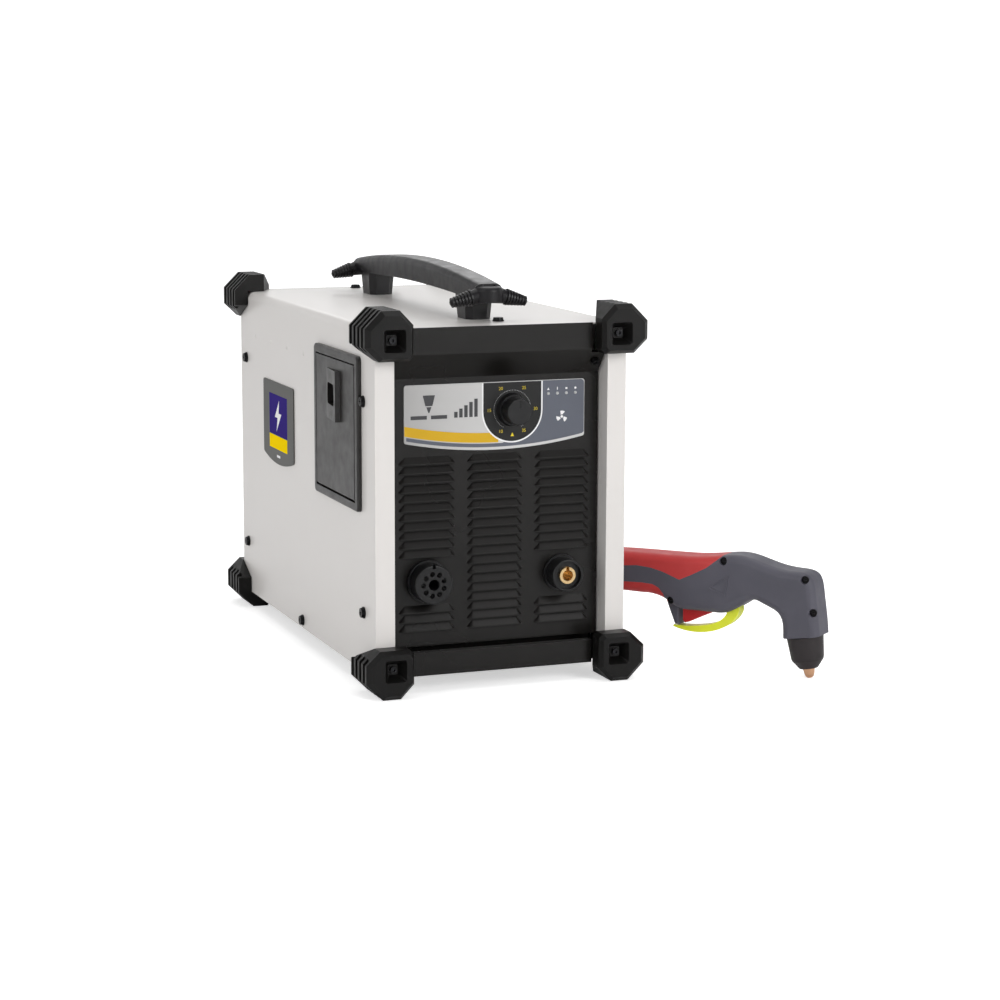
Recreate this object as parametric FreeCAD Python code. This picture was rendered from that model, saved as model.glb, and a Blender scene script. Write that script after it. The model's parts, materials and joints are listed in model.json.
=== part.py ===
import FreeCAD, Part
import math
import os
from FreeCAD import Vector as V

# Portable plasma cutter with its torch. Millimetres, X to the right, Y to the back, Z up.
# The origin is the middle of the base tray's pressed pad, which is level with the cover's lower edge.

# ---- driving dimensions ----
W = 250.0                   # cover width
D = 468.0                   # cover depth
H = 327.0                   # cover height
SHEET = 1.5                 # sheet metal thickness
BEND = 8.0                  # outer bend radius of the cover's top corners
STRIP = 18.8                # width of the cover's front and rear flanges
RECESS = 20.0               # how far the end panels stand back from the cover's ends
FIT = 0.3                   # gap left beside folded sheet parts
FRONT = -D / 2
BACK = D / 2

HEADER_HALF = 90.5          # half width of the header
HEADER_LOW = 302.0          # lower edge of the header's front face
UNDERCUT_LOW = 278.0        # where the sloping undercut meets the end panel
PANEL_LOW = 24.0            # lower edge of the end panel
LIP_TOP = 22.0              # top of the tray's lip
LIP_HALF = 92.4
PANEL_HALF = W / 2 - STRIP - SHEET - FIT
PANEL_T = 2.0
PANEL_FACE = FRONT + RECESS

LOUVRE_PITCH = 8.82
LOUVRE_TOP = 197.6          # lip height of the highest louvre
LOUVRE_HALF = 27.5
LOUVRE_TAPER = 5.5
LOUVRE_OUT = 3.4
LOUVRE_RISE = 7.0
LOUVRE_EDGE = 0.9           # height of the flat edge that ends each hood
LOUVRE_COLUMNS = (-68.0, 0.0, 68.0)
LOUVRE_ROWS = 19
SOCKET_ROWS = range(11, 16)  # rows that the sockets take in the outer columns

OVERLAY_HALF = 90.5
OVERLAY_TOP = 272.0
OVERLAY_SIDE_LOW = 217.6
OVERLAY_MID_LOW = 208.0
OVERLAY_T = 0.8

KNOB_X = 17.2
KNOB_Z = 245.2
KNOB_R = 12.5
KNOB_SKIRT_R = 16.0
KNOB_LENGTH = 20.0
KNOB_SHAFT_R = 3.0

SOCKET_X = 67.5
SOCKET_Z = 86.0

BUMPER_X = 112.0            # centre of each bumper's pocket
BUMPER_HIGH = 317.6
BUMPER_LOW = 11.2
BUMPER_A = 27.6             # octagon's apothem on its outer sides
BUMPER_B = 19.0             # distance from the centre to its inner sides
BUMPER_NOSE = 21.0          # how far the nose stands in front of the cover
BUMPER_BEVEL = 5.0
BUMPER_TAIL = 31.0          # how far the wrap reaches along the cover
POCKET_MOUTH = 21.0
POCKET_FLOOR = 10.0
POCKET_DEPTH = 11.0
GROOVE_PITCH = 11.2
GROOVE_WIDTH = 6.0
GROOVE_DEPTH = 5.0

HANDLE_MID = -8.0           # middle of the handle along Y
HANDLE_POST = 148.0         # half distance between the two posts
HANDLE_TEE = 188.0          # half distance between the two T ends
HANDLE_R = 1450.0           # radius of the arch's top
HANDLE_TOP = 375.0
HANDLE_LOW = 352.5          # highest point of the arch's underside
HANDLE_LOW_R = 3300.0
HANDLE_HALF = 14.0
HORN_REACH = 38.5           # half length of the ribbed horns at each end of the handle
HORN_DROOP = 7.8
HORN_ROOT = 8.8             # radius of a horn at its root and at its tip
HORN_TIP = 2.9

DOOR_Y0 = FRONT + 40.0      # bezel of the side door
DOOR_Y1 = FRONT + 180.0
DOOR_Z0 = 151.5
DOOR_Z1 = 298.0
DOOR_RIM = 8.0
DOOR_PROUD = 4.5
DOOR_GAP_FRONT = 2.6        # gaps between the door leaf and its frame
DOOR_GAP_REAR = 0.8
DOOR_GAP_LOW = 1.2
DOOR_GAP_TOP = 1.4

BADGE_Y0 = FRONT + 264.0
BADGE_Y1 = FRONT + 376.0
BADGE_Z0 = 165.0
BADGE_Z1 = 242.0

FAN_X = -35.0
FAN_Z = 205.0
FAN_SIDE = 120.0
FAN_DEPTH = 25.0

PUMP_X = 45.0               # compressor's shaft line
PUMP_Z = 72.0
SHELF_Z = 190.0

TORCH_X = 292.0             # place of the torch's nozzle tip
TORCH_Y = FRONT - 69.0
TORCH_ANGLE = math.radians(50.8)
FLOOR = BUMPER_LOW - BUMPER_A
TORCH_LIFT = 0.3
TORCH_HALF = 17.5           # half thickness of the torch's handle

# screws as (y, z) on the sides and (x, y) on the top
SIDE_SCREWS = ((FRONT + 35.5, 57.0), (FRONT + 34.0, 257.0), (6.0, 8.5), (BACK - 22.0, 55.0),
               (BACK - 22.0, 256.0))
TOP_SCREWS = ((11.0, FRONT + 41.0), (0.0, BACK - 16.0))
HOLDER_SCREWS = ((FRONT + 76.0, 28.0), (FRONT + 76.0, 72.0), (FRONT + 100.0, 28.0), (FRONT + 100.0, 72.0))
DIMPLES_Y = (FRONT + 229.0, FRONT + 289.0, FRONT + 349.0, FRONT + 409.0)
DIMPLE_Z = 282.0

LED_X = 53.6
LED_STEP = 9.2
LED_Z = 259.0
LOCK_SCREW_WAY = V(0, 24.0, 20.0).normalize()
LOCK_SCREW = V(97.0, FRONT + 10.0, 290.0)

SWITCH_X = 68.0
SWITCH_Z = 252.0
GLAND_X = 68.0
GLAND_Z = 60.0

DOOR_OUT = -W / 2 - DOOR_PROUD
LEAF_OUT = DOOR_OUT + 0.2
HINGE_X = -W / 2 - 1.5
HINGE_Z = DOOR_Z0 + DOOR_RIM + 3.3
HINGE_R = 1.5
LATCH_Y0, LATCH_Y1 = FRONT + 94.0, FRONT + 136.0
LATCH_Z0, LATCH_Z1 = 230.0, 278.5
LATCH_PROUD = 4.6           # height of the latch's wedge-shaped surround at its front
GRIP_Y0, GRIP_Y1 = LATCH_Y0 + 7.6, LATCH_Y1 - 3.8
GRIP_Z0, GRIP_Z1 = 244.2, 265.0
POCKET_DEEP = 8.4
LATCH_WINDOW = (LATCH_Y0 + 22.0, LATCH_Y0 + 34.0)
LATCH_TRAVEL = 6.0

TORCH_TILT = math.radians(8.5)
TORCH_REAR = -213.0
TORCH_BELLY = 67.3          # height of the handle's underside at its rear
TRIGGER_PIN = (-101.0, 60.5)
LEVER_PIN = (-81.0, 61.5)
PIN_R = 1.5
TORCH_SCREWS = ((-86.3, 108.1), (-1.0, 98.2), (8.1, 66.9), (-143.0, 63.5))
PEG = (-206.0, -5.0)        # place of the cradle's peg along and across the torch
PEG_R = 3.0


# ---- small helpers ----
def box(x0, x1, y0, y1, z0, z1):
    return Part.makeBox(x1 - x0, y1 - y0, z1 - z0, V(x0, y0, z0))


def rod(start, direction, radius, length):
    return Part.makeCylinder(radius, length, start, direction)


def face_of(points):
    return Part.Face(Part.makePolygon([*points, points[0]]))


def hull_from_faces(faces):
    return Part.Solid(Part.makeShell([face_of(points) for points in faces]))


def side_profile(points, x0, x1):
    """A YZ outline pushed along X."""
    return face_of([V(x0, y, z) for y, z in points]).extrude(V(x1 - x0, 0, 0))


def front_profile(points, y0, y1):
    """An XZ outline pushed along Y."""
    return face_of([V(x, y0, z) for x, z in points]).extrude(V(0, y1 - y0, 0))


def rounded(shape, radius, wanted):
    edges = [edge for edge in shape.Edges if wanted(edge)]
    return shape.makeFillet(radius, edges) if edges else shape


def runs_along(edge, axis):
    ends = [vertex.Point for vertex in edge.Vertexes]
    if len(ends) != 2:
        return False
    way = (ends[1] - ends[0]).normalize()
    return abs(abs(way.dot(axis)) - 1) < 1e-6


def rounded_box(x0, x1, y0, y1, z0, z1, radius, axis):
    return rounded(box(x0, x1, y0, y1, z0, z1), radius, lambda edge: runs_along(edge, axis))


def save(name, shape):
    solids = shape.Solids
    body = solids[0] if len(solids) == 1 else Part.makeCompound(solids)
    body.exportStep("parts/" + name + ".step")


X, Y, Z = V(1, 0, 0), V(0, 1, 0), V(0, 0, 1)


# ---- sheet metal casing ----


def cover():
    outer = box(-W / 2, W / 2, FRONT, BACK, 0, H)
    outer = rounded(outer, BEND, lambda e: runs_along(e, Y) and e.BoundBox.ZMin > H - 1)
    inner = box(-W / 2 + SHEET, W / 2 - SHEET, FRONT - 1, BACK + 1, -1, H - SHEET)
    inner = rounded(inner, BEND - SHEET, lambda e: runs_along(e, Y) and e.BoundBox.ZMin > H - SHEET - 1)
    shell = outer.cut(inner)
    flanges = []
    for side in (-1, 1):
        xs = sorted((side * W / 2, side * (W / 2 - STRIP)))
        returned = sorted((side * (W / 2 - STRIP), side * (W / 2 - STRIP + SHEET)))
        for y0, y1, r0, r1 in ((FRONT, FRONT + SHEET, FRONT, FRONT + RECESS + 4),
                               (BACK - SHEET, BACK, BACK - RECESS - 4, BACK)):
            strip = box(xs[0], xs[1], y0, y1, 0, H)
            flanges += [strip.common(outer), box(returned[0], returned[1], r0, r1, 0, H - SHEET)]
    shell = shell.fuse(flanges).removeSplitter()
    cuts = [box(-W / 2 - 1, -W / 2 + 5, DOOR_Y0 + 4, DOOR_Y1 - 4, DOOR_Z0 + 4, DOOR_Z1 - 4)]
    for y, z in SIDE_SCREWS:
        cuts.append(rod(V(-W, y, z), X, 2.2, 2 * W))
    cuts += [rod(V(x, y, H - 5), Z, 2.2, 10) for x, y in TOP_SCREWS]
    for end in (-1, 1):
        ys = sorted((end * (BACK + 1), end * (BACK - 2.3)))
        cuts.append(box(-HEADER_HALF - 0.5, HEADER_HALF + 0.5, ys[0], ys[1], H - SHEET - 1, H + 1))
    for y in (HANDLE_MID - HANDLE_POST, HANDLE_MID + HANDLE_POST):
        cuts += [rod(V(0, y + step, H - 5), Z, 2.7, 10) for step in (-8, 8)]
    for y, z in HOLDER_SCREWS:
        cuts.append(rod(V(W / 2 - 5, y, z), X, 2.2, 10))
    for side in (-1, 1):
        for z in (BUMPER_LOW, BUMPER_HIGH):
            cuts.append(rod(V(side * BUMPER_X, FRONT - 1, z), Y, 2.0, 4))
            cuts.append(rod(V(side * BUMPER_X, BACK - 3, z), Y, 2.0, 4))
    for y in DIMPLES_Y:
        cuts.append(Part.makeSphere(3.6, V(-W / 2 - 2.6, y, DIMPLE_Z)))
    return shell.cut(cuts)


def base_tray():
    inside = W / 2 - SHEET - FIT
    floor_low = 3.0
    tray = box(-inside, inside, FRONT + 26, BACK - 26, floor_low, floor_low + SHEET)
    tongue = PANEL_HALF - FIT
    tray = tray.fuse(box(-tongue, tongue, FRONT + SHEET, BACK - SHEET, floor_low, floor_low + SHEET))
    for side in (-1, 1):
        xs = sorted((side * inside, side * (inside - SHEET)))
        tray = tray.fuse(box(xs[0], xs[1], FRONT + 26, BACK - 26, floor_low, 26))
    for face, inward in ((FRONT, 1), (BACK, -1)):
        ys = sorted((face, face + inward * SHEET))
        hem = sorted((face, face + inward * 9))
        tray = tray.fuse(box(-LIP_HALF, LIP_HALF, ys[0], ys[1], 0, LIP_TOP))
        tray = tray.fuse(box(-LIP_HALF, LIP_HALF, hem[0], hem[1], LIP_TOP - SHEET, LIP_TOP))
        tray = tray.fuse(box(-LIP_HALF, LIP_HALF, hem[0], hem[1], 0, SHEET))
    pad_x, pad_y, slope = 85.0, 165.0, 6.0

    def frustum(z0, z1, grow):
        low = [V(x * (pad_x + grow), y * (pad_y + grow), z0) for x, y in ((-1, -1), (1, -1), (1, 1), (-1, 1))]
        reach = grow + slope
        high = [V(x * (pad_x + reach), y * (pad_y + reach), z1)
                for x, y in ((-1, -1), (1, -1), (1, 1), (-1, 1))]
        wires = [Part.makePolygon([*ring, ring[0]]) for ring in (low, high)]
        return Part.makeLoft(wires, True, True)

    tray = tray.fuse(frustum(0, floor_low + SHEET, SHEET))
    tray = tray.cut(frustum(SHEET, floor_low + SHEET + 0.01, 0))
    holes = []
    for y, z in SIDE_SCREWS:
        if z < 20:
            holes.append(rod(V(-W, y, z), X, 1.8, 2 * W))
    for x in (PUMP_X - 25, PUMP_X + 25):
        for y in (-20.0, 90.0):
            holes.append(rod(V(x, y, -2), Z, 2.6, 10))
    return tray.cut(holes).removeSplitter()


def louvre_wedge(x, lip, half, taper, out, rise):
    """A hood that is open below: a sloping face above a flat edge, with rounded ends."""
    low, high = [], []
    for side in (-1, 1):
        plan = []
        for step in range(5):
            angle = math.radians(22.5 * step)
            plan.append((x + side * (half - taper * (1 - math.cos(angle))),
                         PANEL_FACE - out * math.sin(angle)))
        low.append([V(u, v, lip) for u, v in plan])
        high.append([V(u, v, lip + LOUVRE_EDGE) for u, v in plan])
    top = [V(x + side * (half - taper), PANEL_FACE, lip + rise) for side in (-1, 1)]
    faces = [low[0] + low[1][::-1], (high[0][-1], high[1][-1], top[1], top[0])]
    faces.append((low[0][0], high[0][0], top[0], top[1], high[1][0], low[1][0]))
    faces.append((low[0][-1], low[1][-1], high[1][-1], high[0][-1]))
    for end, (under, over) in enumerate(zip(low, high)):
        for step in range(4):
            faces.append((under[step], under[step + 1], over[step + 1], over[step]))
            faces.append((top[end], over[step], over[step + 1]))
    return hull_from_faces(faces)


def louvre_places():
    for column, x in enumerate(LOUVRE_COLUMNS):
        for row in range(LOUVRE_ROWS):
            if column != 1 and row in SOCKET_ROWS:
                continue
            yield x, LOUVRE_TOP - row * LOUVRE_PITCH


def end_panel_sheet():
    """The folded sheet of an end panel, drawn at the front of the cabinet."""
    t = PANEL_T
    face, inner = PANEL_FACE, PANEL_FACE + t
    top = H - SHEET - FIT
    header = [(FRONT, H), (FRONT, HEADER_LOW), (face, UNDERCUT_LOW), (face, UNDERCUT_LOW - 6),
              (inner, UNDERCUT_LOW - 6),
              (inner, UNDERCUT_LOW + 0.8), (FRONT + t, HEADER_LOW + 0.8), (FRONT + t, top - t),
              (FRONT + 24, top - t),
              (FRONT + 24, top), (FRONT + t, top), (FRONT + t, H)]
    sheet = side_profile(header, -HEADER_HALF, HEADER_HALF)
    slope = [(FRONT + 3.0, HEADER_LOW - 3.6), (face, UNDERCUT_LOW), (face, UNDERCUT_LOW - 6),
             (inner, UNDERCUT_LOW - 6),
             (inner, UNDERCUT_LOW + 0.8), (FRONT + 3.0 + t, HEADER_LOW - 2.8)]
    sheet = sheet.fuse(side_profile(slope, -PANEL_HALF, PANEL_HALF))
    sheet = sheet.fuse(box(-PANEL_HALF, PANEL_HALF, face, inner, PANEL_LOW, UNDERCUT_LOW - 6))
    sheet = sheet.fuse(box(-PANEL_HALF, PANEL_HALF, face, face + 16, PANEL_LOW, PANEL_LOW + t))
    sheet = sheet.fuse(box(-PANEL_HALF, PANEL_HALF, face + 14, face + 16, 6.0, PANEL_LOW + t))
    return sheet.removeSplitter()


def front_panel():
    sheet = end_panel_sheet()
    hoods, hollows = [], []
    for x, lip in louvre_places():
        hoods.append(louvre_wedge(x, lip, LOUVRE_HALF, LOUVRE_TAPER, LOUVRE_OUT, LOUVRE_RISE))
        hollow = louvre_wedge(x, lip - 0.05, LOUVRE_HALF - 1.6, LOUVRE_TAPER, LOUVRE_OUT - 1.0,
                              LOUVRE_RISE - 1.5)
        hollows.append(hollow)
        hollows.append(box(x - 20, x + 20, PANEL_FACE - 0.5, PANEL_FACE + PANEL_T + 1, lip,
                           lip + LOUVRE_RISE - 2.4))
    sheet = sheet.fuse(hoods)
    holes = [rod(V(-SOCKET_X, PANEL_FACE - 5, SOCKET_Z), Y, 15.0, 15),
             rod(V(SOCKET_X, PANEL_FACE - 5, SOCKET_Z), Y, 13.0, 15)]
    holes.append(rod(V(KNOB_X, PANEL_FACE - 5, KNOB_Z), Y, 4.2, 15))
    for step in range(4):
        holes.append(rod(V(LED_X + step * LED_STEP, PANEL_FACE - 5, LED_Z), Y, 1.6, 15))
    holes.append(rod(LOCK_SCREW - LOCK_SCREW_WAY * 5, LOCK_SCREW_WAY, 1.8, 15))
    return sheet.cut(hollows + holes)


def front_overlay():
    low = Part.Arc(V(-OVERLAY_HALF, 0, OVERLAY_SIDE_LOW), V(0, 0, OVERLAY_MID_LOW),
                   V(OVERLAY_HALF, 0, OVERLAY_SIDE_LOW))
    corners = (V(OVERLAY_HALF, 0, OVERLAY_SIDE_LOW), V(OVERLAY_HALF, 0, OVERLAY_TOP),
               V(-OVERLAY_HALF, 0, OVERLAY_TOP),
               V(-OVERLAY_HALF, 0, OVERLAY_SIDE_LOW))
    edges = [low.toShape()] + [Part.LineSegment(a, b).toShape() for a, b in zip(corners, corners[1:])]
    plate = Part.Face(Part.Wire(edges)).extrude(V(0, -OVERLAY_T, 0))
    plate.translate(V(0, PANEL_FACE, 0))
    plate = rounded(plate, 2.5, lambda e: runs_along(e, Y))
    holes = [rod(V(KNOB_X, PANEL_FACE - 5, KNOB_Z), Y, 5.0, 10)]
    for step in range(4):
        holes.append(rod(V(LED_X + step * LED_STEP, PANEL_FACE - 5, LED_Z), Y, 1.6, 10))
    return plate.cut(holes)


def indicator_lights():
    lights = []
    for step in range(4):
        x = LED_X + step * LED_STEP
        dome = rod(V(x, PANEL_FACE - OVERLAY_T, LED_Z), Y, 1.5, 8.0)
        lights.append(dome.fuse(Part.makeSphere(1.5, V(x, PANEL_FACE - OVERLAY_T, LED_Z))))
    return Part.makeCompound(lights)


def current_knob():
    base = PANEL_FACE - OVERLAY_T - 0.4
    centre = V(KNOB_X, base, KNOB_Z)
    skirt = Part.makeCone(KNOB_SKIRT_R, KNOB_SKIRT_R - 1.5, 5.0, centre, -Y)
    cap = Part.makeCone(KNOB_R + 0.6, KNOB_R, KNOB_LENGTH, centre, -Y)
    knob = rounded(skirt.fuse(cap), 1.2, lambda e: e.BoundBox.YMax < base - KNOB_LENGTH + 0.5)
    pointer = box(KNOB_X - 0.8, KNOB_X + 0.8, base - KNOB_LENGTH - 0.5, base - KNOB_LENGTH + 0.5,
                  KNOB_Z + 3, KNOB_Z + 11)
    shaft = rod(V(KNOB_X, base - 3, KNOB_Z), Y, KNOB_SHAFT_R, 26.0)
    return knob.cut(pointer).fuse(shaft).removeSplitter()


def potentiometer():
    back = PANEL_FACE + PANEL_T
    can = rod(V(KNOB_X, back, KNOB_Z), Y, 8.5, 9.0)
    bush = rod(V(KNOB_X, PANEL_FACE - OVERLAY_T + 0.6, KNOB_Z), Y, 4.1, PANEL_T + 0.6)
    lugs = [box(KNOB_X + x - 0.6, KNOB_X + x + 0.6, back + 5, back + 6, KNOB_Z - 14, KNOB_Z - 8)
            for x in (-5, 0, 5)]
    bore = rod(V(KNOB_X, PANEL_FACE - 5, KNOB_Z), Y, KNOB_SHAFT_R + 0.05, 40)
    return can.fuse([bush] + lugs).cut(bore)


def control_board():
    near = PANEL_FACE + PANEL_T + 9.5
    board = box(-80, 95, near, near + 1.6, 212, 268)
    hole = rod(V(KNOB_X, near - 2, KNOB_Z), Y, 9.0, 6)
    chips = [box(-60 + 26 * i, -44 + 26 * i, near + 1.6, near + 4.2, 222, 234) for i in range(3)]
    plug = box(60, 88, near + 1.6, near + 11, 216, 224)
    posts = [rod(V(x, PANEL_FACE + PANEL_T, z), Y, 3.0, 9.5) for x in (-75, 90) for z in (216, 264)]
    return board.cut(hole).fuse(chips + [plug] + posts)


# ---- sockets on the front ----
def torch_socket_body():
    centre = V(-SOCKET_X, FRONT, SOCKET_Z)
    barrel = rod(centre, Y, 18.8, RECESS)
    barrel = rounded(barrel, 1.5, lambda e: e.BoundBox.YMax < FRONT + 0.1)
    collar = rod(V(-SOCKET_X, PANEL_FACE - 3, SOCKET_Z), Y, 20.4, 3.0)
    tail = rod(V(-SOCKET_X, PANEL_FACE, SOCKET_Z), Y, 14.9, 26)
    nut = rod(V(-SOCKET_X, PANEL_FACE + PANEL_T, SOCKET_Z), Y, 19.0, 6)
    body = barrel.fuse([collar, tail, nut])
    holes = [rod(centre - Y, Y, 5.3, 34.0)]
    for angle in pin_angles():
        spot = V(-SOCKET_X + 10.4 * math.cos(angle), FRONT - 1, SOCKET_Z + 10.4 * math.sin(angle))
        holes.append(rod(spot, Y, 2.5, 19.0))
    key = box(-SOCKET_X - 1.5, -SOCKET_X + 1.5, FRONT - 1, FRONT + 6, SOCKET_Z + 15.2, SOCKET_Z + 19)
    return body.cut(holes + [key])


def pin_angles():
    return [math.radians(20 + 40 * i) for i in range(9)]


def torch_socket_contacts():
    contacts = []
    for angle in pin_angles():
        spot = V(-SOCKET_X + 10.4 * math.cos(angle), FRONT + 13, SOCKET_Z + 10.4 * math.sin(angle))
        contacts.append(rod(spot, Y, 2.4, 4.8).cut(rod(spot - Y, Y, 1.3, 4)))
    return Part.makeCompound(contacts)


def earth_socket_body():
    centre = V(SOCKET_X, FRONT, SOCKET_Z)
    outer = rounded(rod(centre, Y, 15.8, RECESS), 1.2, lambda e: e.BoundBox.YMax < FRONT + 0.1)
    collar = rod(V(SOCKET_X, PANEL_FACE - 2.5, SOCKET_Z), Y, 17.5, 2.5)
    tail = rod(V(SOCKET_X, PANEL_FACE, SOCKET_Z), Y, 12.9, 14)
    nut = rod(V(SOCKET_X, PANEL_FACE + PANEL_T, SOCKET_Z), Y, 17.0, 5)
    body = outer.fuse([collar, tail, nut])
    recess = rod(centre - Y, Y, 13.4, 5.5)
    bore = rod(centre - Y, Y, 8.05, 40)
    lug = box(SOCKET_X - 1.6, SOCKET_X + 1.6, FRONT + 0.6, FRONT + 4.5, SOCKET_Z + 12.2, SOCKET_Z + 14)
    return body.cut([recess, bore]).fuse(lug)


def earth_socket_insert():
    centre = V(SOCKET_X, FRONT + 1.0, SOCKET_Z)
    insert = rod(centre, Y, 8.0, 40.0)
    slot = box(SOCKET_X - 1.6, SOCKET_X + 1.6, FRONT, FRONT + 12, SOCKET_Z + 4, SOCKET_Z + 9)
    stud = rod(V(SOCKET_X, FRONT + 41, SOCKET_Z), Y, 4.0, 14)
    return insert.cut([rod(centre - Y, Y, 5.3, 26.0), slot]).fuse(stud)


# ---- rear of the cabinet ----
def rear_panel():
    sheet = end_panel_sheet().mirror(V(0, 0, 0), Y)
    face = -PANEL_FACE
    cuts = []
    for ring in range(5):
        r0, r1 = 12.0 + 9.6 * ring, 18.6 + 9.6 * ring
        cuts.append(rod(V(FAN_X, face - 5, FAN_Z), Y, r1, 10).cut(rod(V(FAN_X, face - 6, FAN_Z), Y, r0, 12)))
    vent = cuts[0].fuse(cuts[1:])
    ribs = []
    for turn in range(4):
        rib = box(FAN_X - 2.2, FAN_X + 2.2, face - 6, face + 6, FAN_Z - 60, FAN_Z + 60)
        rib.rotate(V(FAN_X, 0, FAN_Z), Y, 45.0 * turn + 22.5)
        ribs.append(rib)
    vent = vent.cut(ribs)
    switch = box(SWITCH_X - 12.7, SWITCH_X + 12.7, face - 6, face + 6, SWITCH_Z - 15.2, SWITCH_Z + 15.2)
    gland = rod(V(GLAND_X, face - 5, GLAND_Z), Y, 10.2, 10)
    slots = [rounded_box(x - 12, x + 12, face - 5, face + 5, z - 2, z + 2, 1.9, Y) for x in (52, 84)
             for z in (190, 202, 214, 226)]
    screws = [rod(V(FAN_X + x, face - 5, FAN_Z + z), Y, 2.2, 10) for x in (-52.5, 52.5)
              for z in (-52.5, 52.5)]
    tops = [rod(V(x, y, H - 10), Z, 2.2, 10) for x, y in TOP_SCREWS if y > 0]
    return sheet.cut([vent, switch, gland] + slots + screws + tops)


def fan_frame():
    y0, y1 = -PANEL_FACE - PANEL_T - FAN_DEPTH, -PANEL_FACE - PANEL_T
    z = FAN_Z
    half = FAN_SIDE / 2
    frame = rounded_box(FAN_X - half, FAN_X + half, y0, y1, z - half, z + half, 6.0, Y)
    frame = frame.cut(rod(V(FAN_X, y0 - 1, z), Y, 57.0, FAN_DEPTH + 2))
    hub = rod(V(FAN_X, y1 - 4, z), Y, 19.0, 4)
    struts = []
    for turn in range(4):
        strut = box(FAN_X - 2, FAN_X + 2, y1 - 4, y1 - 0.5, z + 15, z + 58)
        strut.rotate(V(FAN_X, 0, z), Y, 90.0 * turn + 45)
        struts.append(strut)
    holes = [rod(V(FAN_X + x, y0 - 1, z + s), Y, 2.1, FAN_DEPTH + 2) for x in (-52.5, 52.5)
             for s in (-52.5, 52.5)]
    stator = rod(V(FAN_X, y0 + 8, z), Y, 6.0, FAN_DEPTH - 10)
    bore = rod(V(FAN_X, y0, z), Y, 2.05, FAN_DEPTH - 6)
    return frame.cut(holes).fuse([hub, stator] + struts).cut(bore)


def fan_rotor():
    y0 = -PANEL_FACE - PANEL_T - FAN_DEPTH + 1.5
    z = FAN_Z
    cup = rod(V(FAN_X, y0, z), Y, 20.0, 19.0).cut(rod(V(FAN_X, y0 + 2, z), Y, 17.5, 20))
    shaft = rod(V(FAN_X, y0, z), Y, 2.0, 15.0)
    blades = []
    for turn in range(7):
        blade = box(19.0, 54.5, -0.9, 0.9, -9.0, 9.0)
        blade.rotate(V(0, 0, 0), X, 40)
        blade.rotate(V(0, 0, 0), X, 90)
        blade.translate(V(0, y0 + 9.5, 0))
        blade.rotate(V(0, 0, 0), Y, turn * 360.0 / 7)
        blade.translate(V(FAN_X, 0, z))
        blades.append(blade.common(rod(V(FAN_X, y0 - 5, z), Y, 54.5, 40)))
    return cup.fuse([shaft] + blades)


def fan_guard():
    y = -PANEL_FACE + 3.0
    z = FAN_Z
    rings = [Part.makeTorus(radius, 1.1, V(FAN_X, y, z), Y) for radius in (16, 28, 40, 52)]
    spokes = []
    for turn in range(4):
        way = V(math.cos(turn * math.pi / 2 + math.pi / 4), 0, math.sin(turn * math.pi / 2 + math.pi / 4))
        spokes.append(rod(V(FAN_X, y - 1.2, z) + way * 13, way, 1.1, 57.0))
        spot = V(FAN_X, -PANEL_FACE, z) + way * 74.2
        eye = rod(spot, Y, 5.0, 2.4).cut(rod(spot - Y, Y, 2.2, 5))
        spokes.append(eye)
    return rings[0].fuse(rings[1:] + spokes)


def power_switch_body():
    face = -PANEL_FACE
    body = box(SWITCH_X - 12.5, SWITCH_X + 12.5, face - 24, face, SWITCH_Z - 15, SWITCH_Z + 15)
    rim = box(SWITCH_X - 15, SWITCH_X + 15, face, face + 2.2, SWITCH_Z - 18, SWITCH_Z + 18)
    well = box(SWITCH_X - 10, SWITCH_X + 10, face - 12, face + 3, SWITCH_Z - 12.5, SWITCH_Z + 12.5)
    tabs = [box(SWITCH_X - 3, SWITCH_X + 3, face - 33, face - 24, SWITCH_Z + z, SWITCH_Z + z + 1)
            for z in (-8, 0, 8)]
    pin_holes = rod(V(SWITCH_X - 12, face - 4, SWITCH_Z), X, 1.55, 24)
    return body.fuse([rim] + tabs).cut([well, pin_holes])


def power_switch_rocker():
    face = -PANEL_FACE
    outline = [(face - 6, SWITCH_Z - 11.5), (face - 6, SWITCH_Z + 11.5), (face + 1.2, SWITCH_Z + 12.0),
               (face - 0.4, SWITCH_Z),
               (face + 4.0, SWITCH_Z - 10.0)]
    rocker = side_profile(outline, SWITCH_X - 9.6, SWITCH_X + 9.6)
    return rocker.fuse(rod(V(SWITCH_X - 11.8, face - 4, SWITCH_Z), X, 1.5, 23.6))


def mains_gland():
    face = -PANEL_FACE
    thread = rod(V(GLAND_X, face - 12, GLAND_Z), Y, 10.0, 14)
    collar = rod(V(GLAND_X, face, GLAND_Z), Y, 13.5, 4)
    corners = [V(GLAND_X + 13.0 * math.cos(math.radians(60 * i)), face + 4,
                 GLAND_Z + 13.0 * math.sin(math.radians(60 * i)))
               for i in range(6)]
    nut = face_of(corners).extrude(V(0, 9, 0))
    dome = rounded(rod(V(GLAND_X, face + 13, GLAND_Z), Y, 11.0, 8), 2.5,
                   lambda e: e.BoundBox.YMin > face + 20)
    inner_nut = rod(V(GLAND_X, face - PANEL_T - 5, GLAND_Z), Y, 14.0, 5)
    bore = rod(V(GLAND_X, face - 20, GLAND_Z), Y, 5.5, 60)
    return thread.fuse([collar, nut, dome, inner_nut]).cut(bore)


# ---- side door ----


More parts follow.
